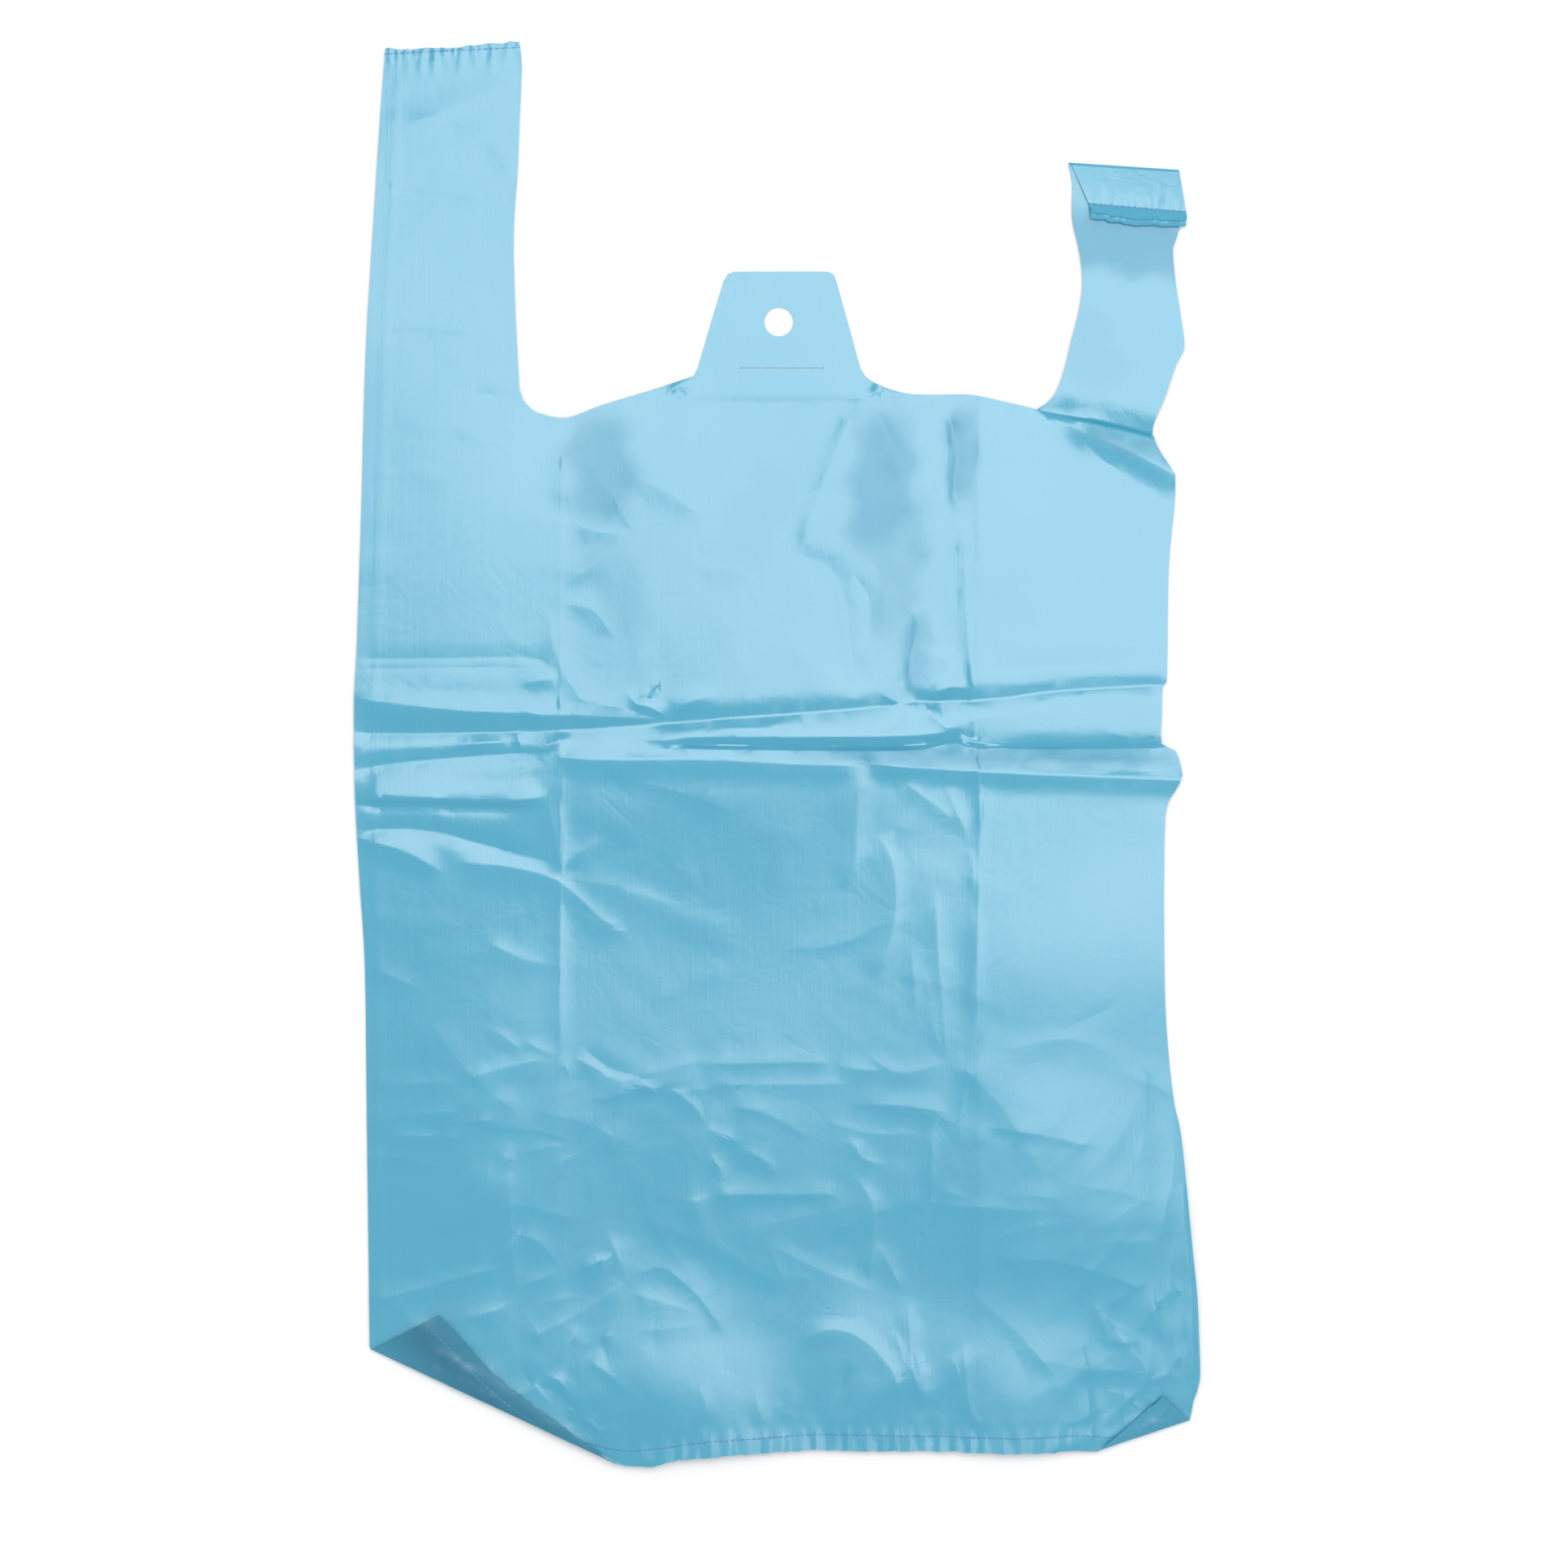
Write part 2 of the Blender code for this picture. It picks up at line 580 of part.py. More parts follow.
class LayeredFilm:
    """The closed skin of the film: a face on each side of each layer, and a wall wherever a layer ends."""

    def __init__(self):
        self.flat, self.faces, centres, self.kinds = flat_bag()
        self.layers = layers_at(centres)
        self.neighbours = {}
        for index, face in enumerate(self.faces):
            for a, b in zip(face, face[1:] + face[:1]):
                self.neighbours.setdefault(tuple(sorted((a, b))), []).append((index, a, b))
        self.side_folds, self.gusset_folds = self.folded_edges()
        self.at_side = {v for edge in self.side_folds for v in edge}
        self.at_gusset = {v for edge in self.gusset_folds for v in edge}
        self.used, self.polygons = {}, []
        self.rims = self.rim_levels()

    def folded_edges(self):
        """Edges where the film turns back on itself: at the bag's sides, and at each gusset's inner fold."""
        side, gusset = set(), set()
        for edge, cells in self.neighbours.items():
            masks = {self.layers[index] for index, _, _ in cells}
            if "side" in self.kinds.get(edge, ()) and masks == {ALL_LAYERS}:
                side.add(edge)
            if masks == {ALL_LAYERS, PANELS_ONLY}:
                gusset.add(edge)
        return side, gusset

    def rim_levels(self):
        """The levels that lie on the upright line through each point."""
        rims = {}
        for face, layers in zip(self.faces, self.layers):
            ends = {LEVELS - 1}
            for gap, film in enumerate(layers):
                if film != (layers[gap - 1] if gap else 0):
                    ends.add(gap)
            for v in face:
                rims.setdefault(v, set()).update(ends)
        for v in self.at_side:
            rims[v] = {0, 3, 4, 7}
        for v in self.at_gusset:
            rims[v] -= {3, 4}
        return rims

    def corner(self, v, level):
        """The index of a point's corner on a level: where the film turns back, two inner levels are one."""
        if v in self.at_side and level in (2, 6):
            level -= 1
        if v in self.at_gusset and level == 4:
            level = 3
        return self.used.setdefault((v, level), len(self.used))

    def wall(self, a, b, low, high):
        """An upright wall between two levels, with the film on the left of the way from a to b."""
        up = [self.corner(b, k) for k in range(low, high + 1) if k in (low, high) or k in self.rims[b]]
        down = [self.corner(a, k) for k in range(high, low - 1, -1) if k in (low, high) or k in self.rims[a]]
        ring = up + down
        ring = [c for c, before in zip(ring, ring[-1:] + ring[:-1]) if c != before]
        if len(ring) > 2:
            self.polygons.append(ring)

    def skins(self):
        for face, layers in zip(self.faces, self.layers):
            for level in range(LEVELS):
                below = layers[level - 1] if level else 0
                above = layers[level] if level < LEVELS - 1 else 0
                if below != above:
                    ring = [self.corner(v, level) for v in face]
                    self.polygons.append(ring if below else ring[::-1])

    def walls(self):
        for edge, cells in self.neighbours.items():
            for own, (index, a, b) in enumerate(cells):
                layers = self.layers[index]
                other = self.layers[cells[1 - own][0]] if len(cells) == 2 else (0,) * (LEVELS - 1)
                closed = ()
                if edge in self.side_folds:
                    closed = (1, 5)
                if edge in self.gusset_folds and layers == ALL_LAYERS:
                    closed = (3,)
                for low, high in film_runs(layers, other, closed):
                    self.wall(a, b, low, high)

    def fold_ends(self):
        """The cut ends of the gussets' inner folds, at the mouth."""
        for edge, cells in self.neighbours.items():
            if len(cells) == 2 or self.layers[cells[0][0]] != ALL_LAYERS:
                continue
            _, a, b = cells[0]
            for v in {a, b} & self.at_gusset:
                low, turn, high = (self.corner(v, k) for k in (2, 3, 5))
                self.polygons.append([turn, low, high] if v == b else [low, turn, high])

    def place(self):
        """Where each corner lies once the layers are stacked, the corners folded and the film creased."""
        points = np.array([self.flat[v] for v, _ in self.used])
        x, y = points[:, 0], points[:, 1]
        levels = np.array([level for _, level in self.used])
        turned = np.array([
            -1 if v in self.at_side and level in (1, 5) else 1 if v in self.at_gusset and level == 3 else 0
            for v, level in self.used
        ])
        z = np.zeros(len(x))
        for level in range(LEVELS):
            own = levels == level
            z[own] = level_height(level, x[own], y[own])
            own &= turned != 0
            z[own] = (z[own] + level_height(level + 1, x[own], y[own])) / 2
        x = x + turned * np.sign(x) * FILM
        for fold in corner_folds():
            x, y, z = roll_over(x, y, z, fold)
        z = z + relief(x, y)
        return np.column_stack([x - (x.min() + x.max()) / 2, y - (y.min() + y.max()) / 2, z - z.min()])


def film_material():
    material = bpy.data.materials.new("blue film")
    material.use_nodes = True
    shader = material.node_tree.nodes["Principled BSDF"]
    shader.inputs["Base Color"].default_value = FILM_COLOUR
    shader.inputs["Roughness"].default_value = FILM_ROUGHNESS
    shader.inputs["Metallic"].default_value = 0.0
    return material


def build_bag():
    film = LayeredFilm()
    film.skins()
    film.walls()
    film.fold_ends()
    mesh = bpy.data.meshes.new("carrier_bag")
    mesh.from_pydata(film.place().tolist(), [], film.polygons)
    mesh.materials.append(film_material())
    mesh.shade_smooth()
    mesh.set_sharp_from_angle(angle=math.radians(SHARP_ANGLE))
    bag = bpy.data.objects.new("carrier_bag", mesh)
    bpy.context.scene.collection.objects.link(bag)


clear_scene()
build_bag()
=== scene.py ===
import math
import random

import bpy
import numpy as np
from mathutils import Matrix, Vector, geometry, kdtree


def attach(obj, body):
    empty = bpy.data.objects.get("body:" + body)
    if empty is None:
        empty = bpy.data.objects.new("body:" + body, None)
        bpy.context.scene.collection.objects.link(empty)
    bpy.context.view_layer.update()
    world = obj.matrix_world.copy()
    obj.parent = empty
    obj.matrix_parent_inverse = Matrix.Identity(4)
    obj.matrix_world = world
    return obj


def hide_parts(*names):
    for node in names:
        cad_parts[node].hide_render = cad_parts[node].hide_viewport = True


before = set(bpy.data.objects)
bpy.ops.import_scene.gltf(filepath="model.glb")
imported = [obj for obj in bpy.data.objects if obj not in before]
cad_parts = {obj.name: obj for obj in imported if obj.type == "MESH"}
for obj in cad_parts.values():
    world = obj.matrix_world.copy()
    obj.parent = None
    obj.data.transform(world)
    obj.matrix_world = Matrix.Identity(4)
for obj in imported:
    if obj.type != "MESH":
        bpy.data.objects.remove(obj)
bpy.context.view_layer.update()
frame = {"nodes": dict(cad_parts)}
print("frame loaded:", ", ".join(frame["nodes"]))

mm = 0.001  # places and lengths below are in millimetres, from the middle of the bag


def distanceTo(x, y, line):
    # Distance from each point to a line of straight pieces
    nearest = np.full(np.shape(x), np.inf)
    for (ax, ay), (bx, by) in zip(line, line[1:]):
        length = max((bx - ax) ** 2 + (by - ay) ** 2, 1e-9)
        t = np.clip(((x - ax) * (bx - ax) + (y - ay) * (by - ay)) / length, 0, 1)
        nearest = np.minimum(nearest, np.hypot(x - ax - t * (bx - ax), y - ay - t * (by - ay)))
    return nearest


def smoothed(points, step):
    # A smooth curve through the points, with a point about each step
    pts = [np.array(p, float) for p in points]
    ends = [2 * pts[0] - pts[1]] + pts + [2 * pts[-1] - pts[-2]]
    curve = [tuple(pts[0])]
    for a, b, c, d in zip(ends, ends[1:], ends[2:], ends[3:]):
        count = max(1, round(float(np.linalg.norm(c - b)) / step))
        for t in np.linspace(0, 1, count + 1)[1:]:
            square, cube = (2 * a - 5 * b + 4 * c - d) * t**2, (3 * b - a - 3 * c + d) * t**3
            curve.append(tuple(0.5 * (2 * b + (c - a) * t + square + cube)))
    return curve


def straight(points, step):
    line = [tuple(points[0])]
    for a, b in zip(points, points[1:]):
        a, b = np.array(a, float), np.array(b, float)
        count = max(1, round(float(np.linalg.norm(b - a)) / step))
        line += [tuple(a + (b - a) * t) for t in np.linspace(0, 1, count + 1)[1:]]
    return line


def inside(x, y, ring):
    result = np.zeros(len(x), bool)
    for (ax, ay), (bx, by) in zip(ring, ring[1:] + ring[:1]):
        crosses = (ay > y) != (by > y)
        if ay != by:
            result ^= crosses & (x < (bx - ax) * (y - ay) / (by - ay) + ax)
    return result


def mirrored(point, line):
    (ax, ay), (bx, by) = line
    along = np.array([bx - ax, by - ay]) / math.hypot(bx - ax, by - ay)
    rel = np.array([point[0] - ax, point[1] - ay])
    return tuple(np.array([ax, ay]) + 2 * along * rel.dot(along) - rel)


# Film: real film is far thinner, so the layers are drawn thick enough to stay apart
film = {
    "thickness": 0.07,
    "gap": 0.07,
    "weldedGap": 0.015,
    "gapOpensOver": 6.0,
    "foldRoom": 0.12,
    "frontSinks": 1.6,
    "frontSinksOver": 4,
    "lieEase": 60,
    "spacing": 3.2,
    "weldSpacing": 1.15,
    "spacingSway": 0.15,
    "clearOfLines": 0.42,
    "lineStep": 0.6,
    "denseByWeld": 9,
    "denseByFold": 2,
    "sharpAngle": 21,
    "crestRadius": 0.6,
    "sharpFrom": 0.12,
    "shoulder": 0.6,
    "footFrom": 0.5,
    "footWithin": 3.3,
    "seed": 7,
}

# Corner folds: the film on the right of each line is turned up and over it
folds = {
    "lower left": {"line": [(-140.4, -204.9), (-53.3, -245.2)], "reach": (-200, 0, -300, 0),
                   "lift": 0.10, "shade": 1.0, "pleated": 0.25},
    "lower right": {"line": [(105.7, -241.6), (144.9, -228.7)], "reach": (60, 200, -300, -190),
                    "lift": 0.14, "shade": 0.35, "pleated": 0.4},
    "handle tip": {"line": [(138.2, 200.3), (100.4, 202.8)], "reach": (60, 200, 150, 300),
                   "lift": 0.06, "shade": 0.0, "pleated": 1.0},
}


def foldRoll():
    return 4 * film["thickness"] + 3 * film["gap"] + film["foldRoom"]


def flatPast(x, y, fold):
    # How far each point lies beyond a fold line, within the fold's own corner of the bag
    (ax, ay), (bx, by) = fold["line"]
    length = math.hypot(bx - ax, by - ay)
    nx, ny = (by - ay) / length, -(bx - ax) / length
    left, right, low, high = fold["reach"]
    own = (x > left) & (x < right) & (y > low) & (y < high)
    return np.where(own, (x - ax) * nx + (y - ay) * ny, -1e3), nx, ny


def foldOver(x, y, z):
    roll = foldRoll()
    for fold in folds.values():
        past, nx, ny = flatPast(x, y, fold)
        turn = np.clip(past / roll, 0, math.pi)
        beyond = past - math.pi * roll
        flat = past <= 0
        newPast = np.where(flat, past, np.where(beyond > 0, -beyond, (roll - z) * np.sin(turn)))
        newZ = np.where(flat, z, roll - (roll - z) * np.cos(turn) + fold["lift"] * np.clip(beyond, 0, None))
        x, y, z = x + (newPast - past) * nx, y + (newPast - past) * ny, newZ
    return x, y, z


# Outline, as the bag lies, with the three folded corners turned back out
outlinePoints = {
    "hem": [(-51.9, -245.5), (-33.5, -243.5), (-15.0, -241.9), (-0.7, -241.0), (13.6, -240.2), (37.1, -240.5),
            (62.3, -240.7), (85.3, -241.3), (108.2, -240.7)],
    "lowerLeftTip": (-115.5, -192.0),
    "lowerLeftHem": [(-94.5, -213.9)],
    "lowerRightTip": (132.3, -219.7),
    "right": [(143.5, -223.4), (145.7, -216.4), (145.5, -202.4), (144.9, -188.4), (143.5, -174.4), (142.1, -160.4),
              (139.3, -132.4), (136.5, -118.4), (134.0, -90.4),
              (133.4, -62.4), (133.4, -42.8), (134.0, -20.4), (137.1, -13.4), (139.6, -7.8), (137.3, 0.6),
              (132.6, 2.9), (132.6, 13.2), (132.9, 22.5),
              (134.3, 24.4), (135.1, 63.6), (137.1, 86.0), (137.1, 95.8)],
    "rightHandleOuter": [(129.5, 109.5), (133.7, 122.4), (137.9, 134.7), (140.4, 139.5), (139.0, 151.3),
                         (137.3, 162.7), (136.5, 174.2), (138.7, 180.7), (138.2, 200.3)],
    "tipOuter": (141.0, 182.3),
    "tipInner": (108.2, 185.1),
    "rightHandleInner": [(100.4, 202.8), (101.8, 196.3), (101.8, 184.0), (104.3, 172.5), (105.4, 161.9),
                         (104.3, 152.7), (101.8, 142.9), (98.7, 130.5),
                         (95.1, 122.4), (89.7, 118.2)],
    "rightMouth": [(89.7, 118.2), (78.0, 121.0), (66.5, 123.3), (55.3, 123.3), (44.1, 123.8), (34.6, 126.9),
                   (30.4, 129.7)],
    "tab": [(28.7, 132.5), (25.6, 144.0), (20.4, 162.6), (19.5, 164.8), (17.5, 165.8), (-14.7, 165.8),
            (-16.9, 165.0), (-18.3, 162.7), (-22.5, 149.0), (-27.3, 132.5)],
    "leftMouth": [(-28.7, 129.7), (-44.1, 124.7), (-60.9, 119.6), (-72.1, 115.4), (-79.9, 116.3), (-84.7, 118.2),
                  (-87.5, 121.3), (-88.9, 125.2)],
    "leftHandleInner": [(-88.9, 125.2), (-90.3, 153.2), (-90.9, 179.0), (-89.5, 200.5), (-88.9, 216.5),
                        (-88.1, 236.4), (-88.9, 245.1)],
    "leftHandleTop": [(-88.9, 245.1), (-100.7, 244.2), (-111.9, 243.1), (-123.6, 242.5), (-135.1, 242.8)],
    "left": [(-135.1, 242.8), (-136.5, 223.2), (-138.7, 189.6), (-141.3, 147.6), (-142.4, 119.6), (-143.5, 77.6),
             (-144.9, 35.6), (-145.7, 18.8), (-145.7, -0.8), (-145.2, -20.4), (-143.8, -45.6),
             (-142.1, -73.6), (-141.5, -118.4), (-141.0, -160.4), (-140.4, -204.9)],
    "hemFrill": 0.30, "handleFrill": 0.35, "tipBulge": 1.0,
    "step": 3, "hemStep": 2.0, "tipStep": 1.6, "handleTopStep": 1.3,
}
holePoints = {
    "hang hole": {"centre": (0.6, 148.5), "radius": 5.0},
    "slit": {"ends": [(-12.5, 132.6), (16.0, 132.5)], "width": 0.26, "tick": 1.7},
}
gussetLines = {"left": (-74.9, 118.2), "right": (69.3, 122.4)}


def tipUnfolded(name, point):
    return mirrored(point, folds[name]["line"])


def frilled(line, amount, rng):
    # A cut edge with the small waves that the weld behind it draws up
    result = [line[0]]
    for i, point in enumerate(line[1:-1]):
        way = np.array(line[i + 2]) - np.array(line[i])
        normal = np.array([-way[1], way[0]]) / max(np.linalg.norm(way), 1e-6)
        result.append(tuple(np.array(point) + normal * rng.uniform(-amount, amount)))
    return result + [line[-1]]


def flatOutline():
    o, rng = outlinePoints, random.Random(film["seed"])
    lowerLeft = tipUnfolded("lower left", o["lowerLeftTip"])
    lowerRight = tipUnfolded("lower right", o["lowerRightTip"])
    tipOuter = tipUnfolded("handle tip", o["tipOuter"])
    tipInner = tipUnfolded("handle tip", o["tipInner"])
    middle = [tipUnfolded("lower left", p) for p in o["lowerLeftHem"]]
    bulge = ((tipOuter[0] + tipInner[0]) / 2, (tipOuter[1] + tipInner[1]) / 2 + o["tipBulge"])
    step = o["step"]
    hem = smoothed([lowerLeft] + middle + o["hem"] + [lowerRight], o["hemStep"])
    top = smoothed([tipOuter, bulge, tipInner], o["tipStep"])
    handleTop = smoothed(o["leftHandleTop"], o["handleTopStep"])
    edges = [
        ("cut", frilled(hem, o["hemFrill"], rng)),
        ("side", straight([lowerRight, o["right"][0]], step) + smoothed(o["right"], step)[1:]),
        ("side", smoothed([o["right"][-1]] + o["rightHandleOuter"], step)),
        ("side", straight([o["rightHandleOuter"][-1], tipOuter], step)),
        ("cut", frilled(top, o["handleFrill"], rng)),
        ("cut", straight([tipInner, o["rightHandleInner"][0]], step)),
        ("cut", smoothed(o["rightHandleInner"], step)),
        ("cut", smoothed(o["rightMouth"], step)),
        ("cut", straight([o["rightMouth"][-1]] + o["tab"] + [o["leftMouth"][0]], step)),
        ("cut", smoothed(o["leftMouth"], step)),
        ("cut", smoothed(o["leftHandleInner"], step)),
        ("cut", frilled(handleTop, o["handleFrill"], rng)),
        ("side", smoothed(o["left"], step)),
        ("side", straight([o["left"][-1], lowerLeft], step)),
    ]
    ring = []
    for _, line in edges:
        ring += line[:-1]
    return edges, ring


def holeRings():
    hole, slit = holePoints["hang hole"], holePoints["slit"]
    (cx, cy), r = hole["centre"], hole["radius"]
    circle = [(cx + r * math.cos(a), cy + r * math.sin(a)) for a in np.linspace(0, 2 * math.pi, 41)[:-1]]
    (ax, ay), (bx, by) = slit["ends"]
    w, t = slit["width"] / 2, slit["tick"] / 2
    cut = [(ax, ay - t), (ax + 2 * w, ay - w), (bx - 2 * w, by - w), (bx, by - t)]
    cut += [(bx, by + t), (bx - 2 * w, by + w), (ax + 2 * w, ay + w), (ax, ay + t)]
    return [circle, cut]


# Welds: across the hem and across the top of each handle. The handles' lie beyond both given distances.
welds = {
    "hemSkirt": 5.2, "handleSkirt": 2.0, "fan": 1.0, "fanLift": 0.3, "step": 2.0,
    "hemPast": 8, "hemPastRise": 1, "handlePast": 6, "handlesBeyond": (60, 130),
}
besideX, aboveY = welds["handlesBeyond"]


def weldLines():
    edges, _ = flatOutline()
    hem, top, left = edges[0][1], edges[4][1], edges[11][1]
    past = welds["hemPast"]
    hemLine = [(x, y + welds["hemSkirt"]) for x, y in smoothed(hem[::6] + [hem[-1]], welds["step"])]
    (ax, ay), (bx, by) = hemLine[0], hemLine[-1]
    hemLine = [(ax - past, ay + welds["hemPastRise"])] + hemLine + [(bx + past, by)]
    rightLine = [(x, y - welds["handleSkirt"]) for x, y in (top[0], top[-1])]
    leftLine = [(x, y - welds["handleSkirt"]) for x, y in (left[0], left[-1])]
    beyond = welds["handlePast"]
    return {"hem": hemLine, "right": stretched(rightLine, beyond), "left": stretched(leftLine, beyond)}


def stretched(line, by):
    a, b = np.array(line[0]), np.array(line[-1])
    way = (b - a) / np.linalg.norm(b - a) * by
    return [tuple(a - way), tuple(b + way)]


edges, ring = flatOutline()
weld = weldLines()
hemXs = np.array(sorted(weld["hem"]))
print("outline:", len(ring), "points")


def hemWeldY(x):
    return np.interp(x, hemXs[:, 0], hemXs[:, 1])


def handleWeldY(x, name):
    (ax, ay), (bx, by) = weld[name]
    return ay + (x - ax) * (by - ay) / (bx - ax)


def beyondWeld(x, y):
    # How far each flat point lies inside the bag from its weld: under zero on the skirts
    far = y - hemWeldY(x)
    far = np.where((x < -besideX) & (y > aboveY), handleWeldY(x, "left") - y, far)
    return np.where((x > besideX) & (y > aboveY), handleWeldY(x, "right") - y, far)


# Pleats that the welds draw up: sharp little folds on the skirts, and longer gathers behind the seams
pleats = {
    "hem": {"pitch": (1.6, 4.2), "height": 0.60, "curl": 0.09,
            "gather": (2.6, 5.2), "gatherHeight": 0.5, "gatherReach": (5.0, 13.0)},
    "left": {"pitch": (1.1, 2.0), "height": 0.40, "curl": 0.0,
             "gather": (1.7, 3.2), "gatherHeight": 0.45, "gatherReach": (5.0, 12.0)},
    "right": {"pitch": (1.1, 2.0), "height": 0.40, "curl": 0.0,
              "gather": (1.7, 3.2), "gatherHeight": 0.45, "gatherReach": (5.0, 10.0)},
    "crest": (0.55, 1.0), "trough": (0.0, 0.25), "gatherCrest": (0.3, 1.0), "past": 10,
    "reach": 5.0, "fall": 1.5, "gatherFall": 1.2, "gatherFrom": 3, "foldMiddle": 1.0, "foldClear": 2.0, "foldFade": 4.0,
    "seed": 11,
}


def pleatStops(first, last, pitch, rng):
    stops, place = [], first
    while place < last:
        stops.append(place)
        place += rng.uniform(*pitch)
    return stops


def pleatTables():
    rng = random.Random(pleats["seed"])
    tables = {}
    for name, line in weld.items():
        own = pleats[name]
        low, high = sorted((line[0][0], line[-1][0]))
        low, high = low - pleats["past"], high + pleats["past"]
        stops = pleatStops(low, high, own["pitch"], rng)
        heights = [own["height"] * rng.uniform(*pleats["crest" if i % 2 else "trough"]) for i in range(len(stops))]
        wide = pleatStops(low, high, own["gather"], rng)
        tall = [own["gatherHeight"] * (rng.uniform(*pleats["gatherCrest"]) if i % 2 else 0) for i in range(len(wide))]
        reach = [rng.uniform(*own["gatherReach"]) for _ in wide]
        tables[name] = (stops, heights, wide, tall, reach)
    return tables


pleatTable = pleatTables()


def pleatRise(x, y):
    # Height of the pleats over the flat film
    far = beyondWeld(x, y)
    rise = np.zeros(len(x))
    for name, (stops, heights, wide, tall, reach) in pleatTable.items():
        own = (y < aboveY) if name == "hem" else (y > aboveY) & ((x < 0) if name == "left" else (x > 0))
        near = np.clip(1 - np.maximum(far, 0) / pleats["reach"], 0, 1) ** pleats["fall"]
        fine = np.interp(x, stops, heights) * near
        length = np.interp(x, wide, reach)
        broad = np.interp(x, wide, tall) * np.clip(1 - np.maximum(far, 0) / length, 0, 1) ** pleats["gatherFall"]
        broad *= np.clip((far + pleats["gatherFrom"]) / pleats["gatherFrom"], 0, 1)
        curl = pleats[name]["curl"] * np.clip(-far, 0, None)
        rise = np.where(own, np.maximum(fine, broad) + curl, rise)
    for fold in folds.values():
        past, _, _ = flatPast(x, y, fold)
        clear = (np.abs(past - pleats["foldMiddle"]) - pleats["foldClear"]) / pleats["foldFade"]
        rise *= np.clip(clear, 0, 1) * np.where(past > 0, fold["pleated"], 1)
    return rise


